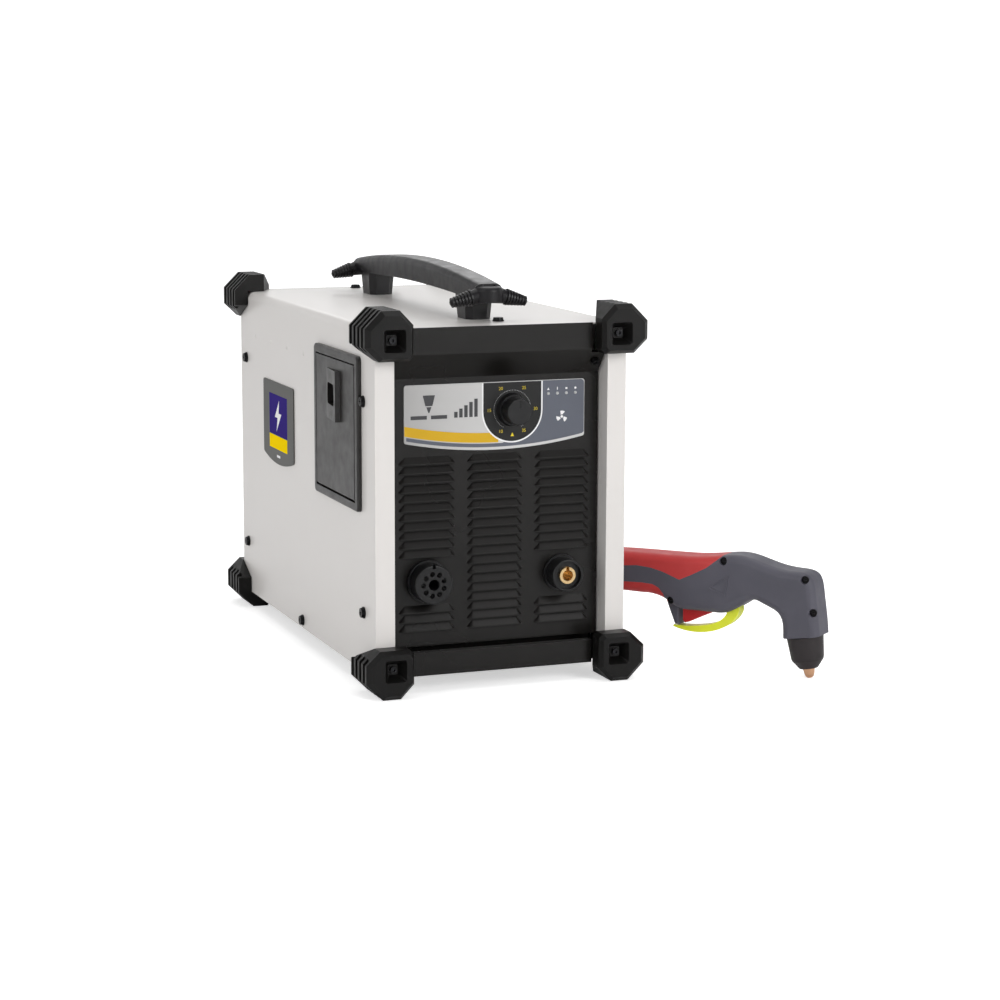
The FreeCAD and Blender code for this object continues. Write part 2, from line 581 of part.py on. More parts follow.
def side_door_frame():
    rim = rounded_box(DOOR_OUT, -W / 2, DOOR_Y0, DOOR_Y1, DOOR_Z0, DOOR_Z1, 5.0, X)
    rim = rounded(rim, 2.0, lambda e: e.BoundBox.XMax < DOOR_OUT + 0.1)
    neck = box(-W / 2, -W / 2 + 8, DOOR_Y0 + 4.3, DOOR_Y1 - 4.3, DOOR_Z0 + 4.3, DOOR_Z1 - 4.3)
    hole = box(DOOR_OUT - 1, -W / 2 + 9, DOOR_Y0 + DOOR_RIM, DOOR_Y1 - DOOR_RIM, DOOR_Z0 + DOOR_RIM,
               DOOR_Z1 - DOOR_RIM)
    pins = rod(V(HINGE_X, DOOR_Y0 + 4.0, HINGE_Z), Y, HINGE_R + 0.05, DOOR_Y1 - DOOR_Y0 - 8.0)
    keeper = box(-W / 2 + 2.5, -W / 2 + 5.6, LATCH_Y0 + 18, LATCH_Y0 + 38, DOOR_Z1 - 12, DOOR_Z1 - 8)
    return rim.fuse(neck).cut([hole, pins]).fuse(keeper)


def side_door():
    y0, y1 = DOOR_Y0 + DOOR_RIM + DOOR_GAP_FRONT, DOOR_Y1 - DOOR_RIM - DOOR_GAP_REAR
    z0, z1 = DOOR_Z0 + DOOR_RIM + DOOR_GAP_LOW, DOOR_Z1 - DOOR_RIM - DOOR_GAP_TOP
    out = LEAF_OUT
    leaf = box(out, -W / 2 + 1.0, y0, y1, z0, z1)
    leaf = rounded(leaf, 2.0, lambda e: runs_along(e, Y) and e.BoundBox.ZMax < z0 + 0.1)
    surround = face_of([V(out, LATCH_Y1, LATCH_Z0), V(out - 0.2, LATCH_Y1, LATCH_Z0),
                        V(out - LATCH_PROUD, LATCH_Y0 + 1.2, LATCH_Z0), V(out, LATCH_Y0, LATCH_Z0)])
    surround = surround.extrude(V(0, 0, LATCH_Z1 - LATCH_Z0))
    tub = rounded_box(out + 1, out + POCKET_DEEP + 1.5, GRIP_Y0 - 1.5, GRIP_Y1 + 1.5, GRIP_Z0 - 1.5,
                      GRIP_Z1 + 1.5, 4.0, X)
    pocket = rounded_box(out - 10, out + POCKET_DEEP, GRIP_Y0, GRIP_Y1, GRIP_Z0, GRIP_Z1, 3.5, X)
    window = box(out, 0, LATCH_WINDOW[0], LATCH_WINDOW[1], GRIP_Z0 + 1.0, GRIP_Z1 - 2.6)
    pins = rod(V(HINGE_X, DOOR_Y0 + 4.6, HINGE_Z), Y, HINGE_R, DOOR_Y1 - DOOR_Y0 - 9.2)
    return leaf.fuse([surround, tub]).cut([pocket, window]).fuse(pins)


def door_latch():
    floor = LEAF_OUT + POCKET_DEEP
    behind = floor + 1.5 + 0.3
    y0, y1 = GRIP_Y0 + 4.0, GRIP_Y1 - 2.5
    low, high = GRIP_Z0 + LATCH_TRAVEL + 1.0, GRIP_Z1 - 0.5
    slider = rounded_box(floor - 4.5, floor - 0.3, y0, y1, low, high, 2.0, X)
    scoop = rounded_box(floor - 5.5, floor - 2.5, y0 + 3.5, y1 - 3.5, low + 3.0, high - 3.0, 2.0, X)
    neck_y0, neck_y1 = LATCH_WINDOW[0] + FIT, LATCH_WINDOW[1] - FIT
    neck = box(floor - 0.4, behind + 0.1, neck_y0, neck_y1, low + 1.0, GRIP_Z1 - 2.9)
    stem = box(behind, behind + 2.0, neck_y0, neck_y1, LATCH_Z0 + 14.0, DOOR_Z1 - 10.0)
    return slider.cut(scoop).fuse([neck, stem])


def door_bin():
    x0, x1 = -W / 2 + 8.2, -W / 2 + 44
    y0, y1, z0, z1 = DOOR_Y0 + 6, DOOR_Y1 - 6, DOOR_Z0 + 6, DOOR_Z1 - 6
    tub = rounded_box(x0, x1, y0, y1, z0, z1, 6.0, X)
    hollow = rounded_box(x0 - 1, x1 - 2, y0 + 2, y1 - 2, z0 + 2, z1 - 2, 5.0, X)
    return tub.cut(hollow)


def side_badge():
    x = -W / 2
    bottom = Part.Arc(V(x, BADGE_Y0, BADGE_Z0), V(x, (BADGE_Y0 + BADGE_Y1) / 2, BADGE_Z0 - 8),
                      V(x, BADGE_Y1, BADGE_Z0))
    corners = (V(x, BADGE_Y1, BADGE_Z0), V(x, BADGE_Y1, BADGE_Z1), V(x, BADGE_Y0, BADGE_Z1),
               V(x, BADGE_Y0, BADGE_Z0))
    edges = [bottom.toShape()] + [Part.LineSegment(a, b).toShape() for a, b in zip(corners, corners[1:])]
    plate = Part.Face(Part.Wire(edges)).extrude(V(-1.2, 0, 0))
    return rounded(plate, 3.0, lambda e: runs_along(e, X))


# ---- corner bumpers ----
def bumper_ring(scale, depth):
    a, b = BUMPER_A, BUMPER_B
    s = a * math.tan(math.radians(22.5))
    outline = ((-6, a), (s, a), (a, s), (a, -6), (14, -b), (4 - b, -b), (-b, 4 - b), (-b, 14))
    points = [V(x * scale, depth, z * scale) for x, z in outline]
    return Part.makePolygon([*points, points[0]])


def rounded_square(side, radius, depth):
    square = face_of([V(x * side / 2, depth, z * side / 2) for x, z in ((-1, -1), (1, -1), (1, 1), (-1, 1))])
    block = rounded(square.extrude(V(0, 1, 0)), radius, lambda e: runs_along(e, Y))
    return [face for face in block.Faces if face.BoundBox.YMax < depth + 0.01][0].OuterWire


def bumper(top_wall):
    """The bumper of the front, upper right corner, about its screw, with y counted from the cover's end."""
    nose, shoulder, tail = -BUMPER_NOSE, BUMPER_BEVEL - BUMPER_NOSE, BUMPER_TAIL
    barrel = Part.Face(bumper_ring(1.0, shoulder)).extrude(V(0, tail - shoulder, 0))
    bevel = Part.makeLoft([bumper_ring((BUMPER_A - 4.5) / BUMPER_A, nose), bumper_ring(1.0, shoulder)],
                          True, True)
    body = barrel.fuse(bevel)
    side_wall = W / 2 - BUMPER_X + FIT
    cuts = [box(-60, side_wall, 0, tail + 5, -60, top_wall)]
    cuts.append(face_of([V(-4.6, tail + 0.1, -60), V(-60, tail + 0.1, -60), V(-60, -0.6, -60),
                         V(-BUMPER_B, -0.6, -60)])
                .extrude(V(0, 0, 120)))
    cuts.append(face_of([V(-60, tail + 0.1, -4.6), V(-60, tail + 0.1, -60), V(-60, -0.6, -60),
                         V(-60, -0.6, -BUMPER_B)])
                .extrude(V(120, 0, 0)))
    inner = BUMPER_A - GROOVE_DEPTH
    s = inner * math.tan(math.radians(22.5))
    core_outline = ((-40, inner), (s, inner), (inner, s), (inner, -40), (-40, -40))
    for step in range(4):
        y0 = -11.5 + GROOVE_PITCH * step
        core = front_profile(core_outline, y0 - 1, y0 + GROOVE_WIDTH + 1)
        cuts.append(box(-6, 40, y0, y0 + GROOVE_WIDTH, -12, 40).cut(core))
    cuts.append(Part.makeLoft([rounded_square(POCKET_MOUTH, 2.5, nose - 0.01),
                               rounded_square(POCKET_FLOOR, 2.0, nose + POCKET_DEPTH)], True, True))
    cuts.append(rod(V(0, nose, 0), Y, 2.2, BUMPER_NOSE + 1))
    return body.cut(cuts).removeSplitter()


def placed_bumper(shape, side, level, end):
    copy = shape.copy()
    if side < 0:
        copy = copy.mirror(V(0, 0, 0), X)
    if level == "low":
        copy = copy.mirror(V(0, 0, 0), Z)
    copy.translate(V(side * BUMPER_X, FRONT, BUMPER_HIGH if level == "high" else BUMPER_LOW))
    return copy if end == "front" else copy.mirror(V(0, 0, 0), Y)


def bumper_screws():
    screws = []
    floor = FRONT - BUMPER_NOSE + POCKET_DEPTH
    for side in (-1, 1):
        for z in (BUMPER_LOW, BUMPER_HIGH):
            head = rod(V(side * BUMPER_X, floor - 3.2, z), Y, 3.1, 3.2)
            socket = rod(V(side * BUMPER_X, floor - 4, z), Y, 1.6, 2.6)
            shank = rod(V(side * BUMPER_X, floor, z), Y, 1.95, 16.0)
            front = head.cut(socket).fuse(shank)
            screws += [front, front.mirror(V(0, 0, 0), Y)]
    return Part.makeCompound(screws)


# ---- screws of the casing ----
def pan_screw(spot, out, radius, shank):
    flange = rod(spot, out, radius, 1.0)
    head = Part.makeCone(radius * 0.92, radius * 0.8, 2.6, spot + out, out)
    across = V(out.z, out.x, out.y)
    other = out.cross(across)
    slots = []
    for way, cross in ((across, other), (other, across)):
        corner = spot + out * 2.2 - way * radius * 0.42 - cross * 0.6
        blade = face_of([corner, corner + way * radius * 0.84, corner + way * radius * 0.84 + cross * 1.2,
                         corner + cross * 1.2])
        slots.append(blade.extrude(out * 2.0))
    return flange.fuse([head, rod(spot - out * shank, out, 1.75, shank)]).cut(slots)


def cover_screws():
    screws = []
    for y, z in SIDE_SCREWS:
        screws.append(pan_screw(V(-W / 2, y, z), -X, 5.6, 8.0))
        screws.append(pan_screw(V(W / 2, y, z), X, 5.6, 8.0))
    screws += [pan_screw(V(x, y, H), Z, 5.6, 8.0) for x, y in TOP_SCREWS]
    for end in (-1, 1):
        for step in (-8, 8):
            screws.append(pan_screw(V(0, HANDLE_MID + end * HANDLE_POST + step, H - SHEET), -Z, 4.8, 12.0))
    screws += [pan_screw(V(W / 2 + 3.0, y, z), X, 4.8, 9.0) for y, z in HOLDER_SCREWS]
    return Part.makeCompound(screws)


def panel_screws():
    lock = pan_screw(LOCK_SCREW, -LOCK_SCREW_WAY, 4.2, 8.0)
    others = []
    for x in (-52.5, 52.5):
        for z in (-52.5, 52.5):
            others.append(pan_screw(V(FAN_X + x, -PANEL_FACE + 2.5, FAN_Z + z), Y, 4.2, 30.0))
    return Part.makeCompound([lock] + others)


# ---- carrying handle ----
def top_height(y):
    return HANDLE_TOP - HANDLE_R + math.sqrt(HANDLE_R ** 2 - (y - HANDLE_MID) ** 2)


def low_height(y):
    return HANDLE_LOW - HANDLE_LOW_R + math.sqrt(HANDLE_LOW_R ** 2 - (y - HANDLE_MID) ** 2)


def arch_face(reach, top, low, x):
    y0, y1, mid = HANDLE_MID - reach, HANDLE_MID + reach, HANDLE_MID
    top_edge = Part.Arc(*[V(x, y, top(y)) for y in (y0, mid, y1)]).toShape()
    low_edge = Part.Arc(*[V(x, y, low(y)) for y in (y1, mid, y0)]).toShape()
    right = Part.LineSegment(V(x, y1, top(y1)), V(x, y1, low(y1))).toShape()
    left = Part.LineSegment(V(x, y0, low(y0)), V(x, y0, top(y0))).toShape()
    return Part.Face(Part.Wire([top_edge, right, low_edge, left]))


def handle_grip():
    arch = arch_face(HANDLE_TEE, top_height, low_height, -HANDLE_HALF).extrude(V(2 * HANDLE_HALF, 0, 0))
    upper = [e for e in arch.Edges if e.BoundBox.YLength > 300 and e.BoundBox.ZMax > HANDLE_LOW + 5]
    arch = arch.makeFillet(7.0, upper)
    pieces = []
    for end in (-1, 1):
        y = HANDLE_MID + end * HANDLE_TEE
        low, high = low_height(y) - 1.5, top_height(y) - 2.5
        boss = rod(V(0, y, low), Z, HANDLE_HALF, high - low)
        pieces.append(rounded(boss, 4.5, lambda e: e.BoundBox.ZMin > low + 5))
        middle = (low + high) / 2
        for side in (-1, 1):
            root, tip = V(side * 4, y, middle), V(side * HORN_REACH, y, middle - HORN_DROOP)
            way = (tip - root).normalize()
            length = (tip - root).Length
            horn = Part.makeCone(HORN_ROOT, HORN_TIP, length, root, way)
            pieces.append(rounded(horn, 2.2, lambda e: abs(e.BoundBox.Center.x) > HORN_REACH - 1.5))
            for rib in range(7):
                place = 13.5 + rib * 3.1
                radius = HORN_ROOT - (HORN_ROOT - HORN_TIP) * place / length
                pieces.append(rod(root + way * place, way, radius + 1.3, 1.7))
    return arch.fuse(pieces)


def octagon(half_x, half_y, corner, y, z):
    outline = ((corner - half_x, -half_y), (half_x - corner, -half_y), (half_x, corner - half_y),
               (half_x, half_y - corner),
               (half_x - corner, half_y), (corner - half_x, half_y), (-half_x, half_y - corner),
               (-half_x, corner - half_y))
    points = [V(dx, y + dy, z) for dx, dy in outline]
    return Part.makePolygon([*points, points[0]])


def handle_post(end):
    y = HANDLE_MID + end * HANDLE_POST
    post = Part.makeLoft([octagon(12.4, 16.6, 5.6, y, H), octagon(14.8, 20.6, 7.0, y, 360.0)], True, True)
    above = arch_face(HANDLE_TEE, lambda v: top_height(v) + 20, low_height, -60).extrude(V(120, 0, 0))
    holes = [rod(V(0, y + step, H - 1), Z, 2.5, 14) for step in (-8, 8)]
    return post.cut([above] + holes)


# ---- compressor ----
def compressor_motor():
    can = rod(V(PUMP_X, 30, PUMP_Z), Y, 42.0, 80.0).cut(rod(V(PUMP_X, 29, PUMP_Z), Y, 24.5, 82))
    bell = rod(V(PUMP_X, 110, PUMP_Z), Y, 40.0, 8.0).cut(rod(V(PUMP_X, 109, PUMP_Z), Y, 6.06, 12))
    ribs = []
    for turn in range(12):
        rib = box(PUMP_X - 1.5, PUMP_X + 1.5, 34, 106, PUMP_Z + 40, PUMP_Z + 45)
        rib.rotate(V(PUMP_X, 0, PUMP_Z), Y, turn * 30.0)
        ribs.append(rib)
    feet = [box(PUMP_X + s * 30 - 9, PUMP_X + s * 30 + 9, 80, 100, 16.5, 36) for s in (-1, 1)]
    keep_out = rod(V(PUMP_X, 29, PUMP_Z), Y, 24.5, 82)
    return can.fuse([bell] + ribs + feet).cut(keep_out)


def compressor_crankcase():
    case = rounded_box(PUMP_X - 38, PUMP_X + 38, -42, 30, PUMP_Z - 40, PUMP_Z + 38, 10.0, Y)
    hollow = rod(V(PUMP_X, -34, PUMP_Z), Y, 30.0, 56)
    bore = rod(V(PUMP_X, -45, PUMP_Z), Y, 6.06, 80)
    feet = [box(PUMP_X + s * 30 - 9, PUMP_X + s * 30 + 9, -30, -10, 16.5, 40) for s in (-1, 1)]
    cylinder_hole = rod(V(PUMP_X, -6, PUMP_Z + 20), Z, 20.0, 30)
    return case.fuse(feet).cut([hollow, bore, cylinder_hole])


def compressor_head():
    z = PUMP_Z + 38
    barrel = rod(V(PUMP_X, -6, z), Z, 24.0, 34).cut(rod(V(PUMP_X, -6, z - 1), Z, 19.0, 30))
    fins = [rod(V(PUMP_X, -6, z + 4 + 6.5 * step), Z, 31.0, 2.4).cut(rod(V(PUMP_X, -6, z), Z, 23.0, 40))
            for step in range(5)]
    top = rounded_box(PUMP_X - 28, PUMP_X + 28, -34, 22, z + 34, z + 48, 8.0, Z)
    outlet = rod(V(PUMP_X - 28, -6, z + 41), -X, 5.5, 14)
    return barrel.fuse(fins + [top, outlet])


def compressor_rotor():
    shaft = rod(V(PUMP_X, -40, PUMP_Z), Y, 6.0, 184.0)
    core = rod(V(PUMP_X, 36, PUMP_Z), Y, 23.8, 66)
    crank = rod(V(PUMP_X, -20, PUMP_Z), Y, 22.0, 12)
    pin = rod(V(PUMP_X + 10, -8, PUMP_Z), Y, 4.0, 14)
    hub = rod(V(PUMP_X, 124, PUMP_Z), Y, 14.0, 16)
    blades = []
    for turn in range(8):
        blade = box(PUMP_X + 12, PUMP_X + 38, 126, 138, PUMP_Z - 0.9, PUMP_Z + 0.9)
        blade.rotate(V(PUMP_X, 132, PUMP_Z), X, 30)
        blade.rotate(V(PUMP_X, 0, PUMP_Z), Y, 45.0 * turn)
        blades.append(blade)
    return shaft.fuse([core, crank, pin, hub] + blades)


def compressor_dampers():
    dampers = []
    for x in (PUMP_X - 25, PUMP_X + 25):
        for y in (-20.0, 90.0):
            pad = rod(V(x, y, SHEET), Z, 8.5, 15.0).cut(rod(V(x, y, 8.5), Z, 9.5,
                                                            4).cut(rod(V(x, y, 8), Z, 6.5, 5)))
            dampers.append(pad)
    return Part.makeCompound(dampers)


def air_hose():
    """From the compressor's outlet to the torch socket, in straight runs joined by tangent arcs."""
    z = PUMP_Z + 79
    points = [V(PUMP_X - 42, -6, z), V(-20, -6, z), V(-SOCKET_X, -70, 130), V(-SOCKET_X, -130, SOCKET_Z),
              V(-SOCKET_X, FRONT + 46, SOCKET_Z)]
    edges, last = [], points[0]
    for before, corner, after in zip(points, points[1:], points[2:]):
        one, two = (before - corner), (after - corner)
        short = min(one.Length, two.Length) * 0.45
        one.normalize()
        two.normalize()
        start, finish = corner + one * short, corner + two * short
        half = math.acos(max(-1.0, min(1.0, one.dot(two)))) / 2
        radius = short * math.tan(half)
        bisector = (one + two).normalize()
        centre = corner + bisector * (radius / math.sin(half))
        middle = centre - bisector * radius
        edges.append(Part.LineSegment(last, start).toShape())
        edges.append(Part.Arc(start, middle, finish).toShape())
        last = finish
    edges.append(Part.LineSegment(last, points[-1]).toShape())
    path = Part.Wire(edges)
    ring = Part.Wire(Part.makeCircle(4.5, points[0], -X))
    tube = path.makePipeShell([ring], True, True)
    return tube


# ---- power electronics ----
def shelf_plate():
    y0, y1 = FRONT + 39, BACK - 50
    plate = box(-75, 118, y0, y1, SHELF_Z, SHELF_Z + SHEET)
    lip = box(116.5, 118, y0, y1, SHELF_Z - 12, SHELF_Z)
    legs = []
    for x in (-40, 96):
        for y, inward in ((y0, 1), (y1 - SHEET, -1)):
            ends = sorted((y, y + inward * 12))
            legs.append(box(x, x + 12, y, y + SHEET, 3.0 + SHEET, SHELF_Z))
            legs.append(box(x, x + 12, ends[0], ends[1] + (SHEET if inward < 0 else 0), 3.0 + SHEET,
                            3.0 + 2 * SHEET))
    return plate.fuse([lip] + legs)


def heatsink():
    z = SHELF_Z + SHEET
    base = box(10, 108, -130, 110, z, z + 8)
    fins = [box(12 + 7.8 * i, 14 + 7.8 * i, -130, 110, z + 8, z + 40) for i in range(13)]
    return base.fuse(fins)


def power_board():
    z = SHELF_Z + SHEET + 44
    board = box(-30, 112, -150, 130, z, z + 1.6)
    modules = [box(22 + 44 * i, 54 + 44 * i, -110 + 70 * j, -66 + 70 * j, z - 4, z) for i in range(2)
               for j in range(3)]
    posts = [rod(V(x, y, SHELF_Z + SHEET), Z, 3.0, 44) for x in (-25,) for y in (-140, 120)]
    relays = [box(-22, -4, y, y + 24, z + 1.6, z + 18) for y in (-60, -20, 20)]
    return board.fuse(modules + posts + relays)


def transformer():
    x0, x1, y0, y1, z0, z1 = -112, -60, -60, 40, 4.5, 92
    core = box(x0, x1, y0, y1, z0, z1)
    window = [box(x0 - 1, x1 + 1, y0 + 18, y0 + 40, z0 + 16, z1 - 16),
              box(x0 - 1, x1 + 1, y1 - 40, y1 - 18, z0 + 16, z1 - 16)]
    coil = rounded_box(x0 - 8, x1 + 8, y0 + 22, y1 - 22, z0 + 18, z1 - 18, 6.0, Z)
    return core.cut(window).fuse(coil)


def capacitors():
    z = SHELF_Z + SHEET + 44 + 1.6
    cans = []
    for i in range(4):
        can = rod(V(22 + 26 * (i % 4), -40, z), Z, 12.0, 45)
        cans.append(rounded(can, 1.5, lambda e: e.BoundBox.ZMin > z + 44))
    return Part.makeCompound(cans)


# ---- torch ----
# It is drawn along its own line: s from the nozzle's axis to the front, t to its left, z from the floor.


def torch_slab(points, half):
    return face_of([V(s, -half, z) for s, z in points]).extrude(V(0, 2 * half, 0))


def torch_curve(points, t):
    curve = Part.BSplineCurve()
    curve.interpolate([V(s, t, z) for s, z in points])
    return curve.toShape()


def torch_place(shape):
    copy = shape.copy()
    copy.translate(V(0, 0, FLOOR + TORCH_LIFT))
    copy.rotate(V(0, 0, 0), Z, -math.degrees(TORCH_ANGLE))
    copy.translate(V(TORCH_X, TORCH_Y, 0))
    return copy


def torch_whole():
    """The torch's moulded outline, thick and soft-edged, with the post in front of which the trigger sits."""
    back = [(TORCH_REAR, 106.2), (-174, 107.6), (-146, 108.2), (-118, 109.3), (-92, 112.6), (-71, 114.6),
            (-50, 110.6),
            (-30, 105.9), (-12, 104.6), (-3, 103.7), (3, 100.6), (6.8, 93.4), (8.8, 82.0), (11.2,
                                                                                            66.0),
                                                                                            (13.6, 44.0)]
    belly = [(-24.0, 38.3), (-24.4, 48.0), (-26.0, 56.5), (-29.4, 61.8), (-35.2, 65.4), (-46.0, 69.8),
             (-54.5, 72.4),
             (-58.5, 71.8), (-66, 67.2), (-75, 61.3), (-85, 56.6), (-97, 55.4), (-118, 55.2), (-137, 56.5),
             (-150, 63.4),
             (-160, 66.6), (-174, TORCH_BELLY)]
    half = TORCH_HALF
    mouth, rear_low, rear = [Part.LineSegment(V(a[0], -half, a[1]), V(b[0], -half, b[1])).toShape()
                             for a, b in ((back[-1], belly[0]), (belly[-1], (TORCH_REAR, TORCH_BELLY)),
                                          ((TORCH_REAR, TORCH_BELLY), back[0]))]
    wire = Part.Wire([torch_curve(back, -half), mouth, torch_curve(belly, -half), rear_low, rear])
    body = Part.Face(wire).extrude(V(0, 2 * half, 0))
    in_side = [e for e in body.Edges if e.BoundBox.YLength < 0.01 and e.BoundBox.XLength > 30]
    long_edges = [e for e in in_side if e.BoundBox.XLength > 100 or e.BoundBox.ZMin > TORCH_BELLY - 1]
    body = body.makeFillet(8.0, long_edges)
    post = torch_slab([(-137.2, 62.0), (-137.0, 38.3), (-141.6, 39.0), (-146.4, 50.3), (-151.8, 64.0),
                       (-151.8, 69)], 9.0)
    return body.fuse(rounded(post, 2.0, lambda e: not runs_along(e, Y) and e.BoundBox.ZMin < 60))


def torch_grip_zones(grow):
    top = [(-214, 93.0), (-196, 93.5), (-180, 95.3), (-165, 94.5), (-151, 91.6), (-133, 85.4), (-120, 91.5),
           (-104, 100.0),
           (-93, 108.7), (-86, 115.6), (-86, 125.0), (-214, 125.0)]
    low = [(-214, 77.2), (-195, 77.5), (-174, 78.4), (-162, 77.9), (-155, 74.8), (-150.5, 69.5),
           (-149, 60.0), (-214, 60.0)]
    return [torch_slab(points, TORCH_HALF + grow) for points in (top, low)]


def torch_hollows():
    core = torch_slab([(-209, 71.0), (-160, 71), (-150, 68), (-138, 61), (-118, 59.5), (-96, 60.5),
                       (-84, 62), (-72, 68), (-57, 76.5),
                       (-44, 74), (-33, 69), (-23, 60), (7.0, 64), (4.0, 89), (-3, 98), (-12, 100),
                       (-30, 101.5), (-50, 106), (-71, 110),
                       (-92, 108), (-118, 105), (-150, 104), (-209, 102)], 11.5)
    axis = V(-math.sin(TORCH_TILT), 0, math.cos(TORCH_TILT))
    bore = Part.makeCylinder(13.0, 30.0, axis * 34, axis)
    trigger_slot = torch_slab([(-136.9, 40.0), (-136.9, 66.0), (-95.0, 66.0), (-95.0, 40.0)], 5.8)
    lever_slot = torch_slab([(-92.0, 40.0), (-92.0, 70.0), (-71.0, 70.0), (-71.0, 40.0)], 6.6)
    return [core, bore, trigger_slot, lever_slot]


def torch_shell(side):
    body = torch_whole().cut(torch_grip_zones(2.0) + torch_hollows())
    ys = sorted((0, side * 40))
    half = box(-260, 60, ys[0], ys[1], 0, 140)
    holes = [rod(V(s, -12.6, z), Y, PIN_R + 0.02, 25.2) for s, z in (TRIGGER_PIN, LEVER_PIN)]
    for s, z in TORCH_SCREWS:
        holes.append(rod(V(s, -30, z), Y, 2.0, 60))
        holes.append(rod(V(s, -30, z), Y, 4.0, 17.0))
    return body.common(half).cut(holes)


def torch_screws():
    screws = []
    for s, z in TORCH_SCREWS:
        head = rod(V(s, -14.6, z), Y, 3.6, 1.6)
        head = head.cut(Part.makeBox(3.6, 1.0, 0.9, V(s - 1.8, -14.7, z - 0.45)))
        screws.append(head.fuse(rod(V(s, -13.0, z), Y, 1.9, 25.0)))
    return Part.makeCompound(screws)


def torch_grip():
    whole, keep = torch_whole(), torch_hollows()[0]
    top, low = [whole.common(zone).cut(keep) for zone in torch_grip_zones(0.0)]
    return Part.makeCompound(top.Solids + low.cut(rod(V(PEG[0], PEG[1], 60), Z, PEG_R + FIT, 30)).Solids)


def torch_trigger():
    shape = torch_slab([(-133.8, 62.0), (-133.8, 42.0), (-132.0, 40.2), (-127.5, 41.6), (-120, 45.2),
                        (-112, 49.2), (-103.8, 53.0), (-97.6, 56.8), (-98.0, 63.5)], 5.5)
    shape = rounded(shape, 1.2, lambda e: not runs_along(e, Y) and e.BoundBox.ZMax < 57.5)
    return shape.cut(rod(V(TRIGGER_PIN[0], -10, TRIGGER_PIN[1]), Y, PIN_R + 0.05, 20))


def torch_safety_lever():
    outer = [(-144.5, 35.8), (-130.0, 32.8), (-111.0, 33.2), (-95.0, 37.6), (-83.5, 44.2), (-76.4, 51.4),
             (-73.2, 58.8)]
    inner = [(-86.6, 54.5), (-92.4, 47.6), (-106.0, 41.4), (-123.5, 38.2), (-136.0, 37.3), (-143.5, 37.6)]
    top = [(-73.2, 58.8), (-74.0, 65.0), (-82.5, 67.0), (-87.0, 61.0), (-86.6, 54.5)]
    edges = [torch_curve(outer, -6.0)]
    edges += [Part.LineSegment(V(a[0], -6.0, a[1]), V(b[0], -6.0, b[1])).toShape()
              for a, b in zip(top, top[1:])]
    edges += [torch_curve(inner, -6.0), Part.LineSegment(V(-143.5, -6.0, 37.6),
                                                         V(-144.5, -6.0, 35.8)).toShape()]
    shape = Part.Face(Part.Wire(edges)).extrude(V(0, 12.0, 0))
    return shape.cut(rod(V(LEVER_PIN[0], -10, LEVER_PIN[1]), Y, PIN_R + 0.05, 20))


def torch_pivot_pins():
    return Part.makeCompound([rod(V(s, -12.5, z), Y, PIN_R, 25.0) for s, z in (TRIGGER_PIN, LEVER_PIN)])


def tilted(profile):
    """Turns a half outline (radius, height along the nozzle's axis) round that axis."""
    outline = face_of([V(radius, 0, height) for radius, height in profile])
    solid = outline.revolve(V(0, 0, 0), Z, 360)
    solid.rotate(V(0, 0, 0), Y, -math.degrees(TORCH_TILT))
    return solid


def torch_cup():
    return tilted([(6.3, 9.4), (9.0, 9.6), (15.2, 17.6), (15.9, 20.0), (17.9, 40.8), (12.7, 40.8),
                   (12.7, 58.0), (10.3, 58.0),
                   (10.3, 22.0), (6.3, 16.0)])


def torch_nozzle():
    return tilted([(0.6, 0.0), (2.2, 0.0), (3.9, 1.4), (4.9, 4.0), (5.9, 9.4), (5.9, 16.5), (10.0, 22.5),
                   (10.0, 30.0), (6.4, 30.0),
                   (3.0, 20.0), (3.0, 8.0), (0.6, 4.0)])


def torch_electrode():
    return tilted([(0.0, 9.5), (2.0, 9.5), (2.6, 11.0), (2.6, 20.0), (5.2, 28.0), (5.2, 46.0), (9.9, 46.0),
                   (9.9, 57.5), (0.0, 57.5)])


def torch_holder():
    """An arm on the cabinet's right side, with a peg that stands in a hole under the torch's handle."""
    plate = rounded_box(W / 2, W / 2 + 3.0, FRONT + 68, FRONT + 108, 18, 82, 6.0, X)
    peg = torch_place(rod(V(PEG[0], PEG[1], 60), Z, PEG_R, 11.0))
    spot = peg.BoundBox.Center
    top = FLOOR + TORCH_LIFT + TORCH_BELLY - 0.3
    arm = box(W / 2, spot.x + PEG_R, spot.y - 5, spot.y + 5, top - 8, top)
    brace = front_profile([(W / 2, top - 8), (W / 2, top - 26), (spot.x - 8, top - 8)], spot.y - 1.5,
                          spot.y + 1.5)
    holes = [rod(V(W / 2 - 1, y, z), X, 2.2, 8) for y, z in HOLDER_SCREWS]
    return plate.fuse([arm, brace, peg]).cut(holes)


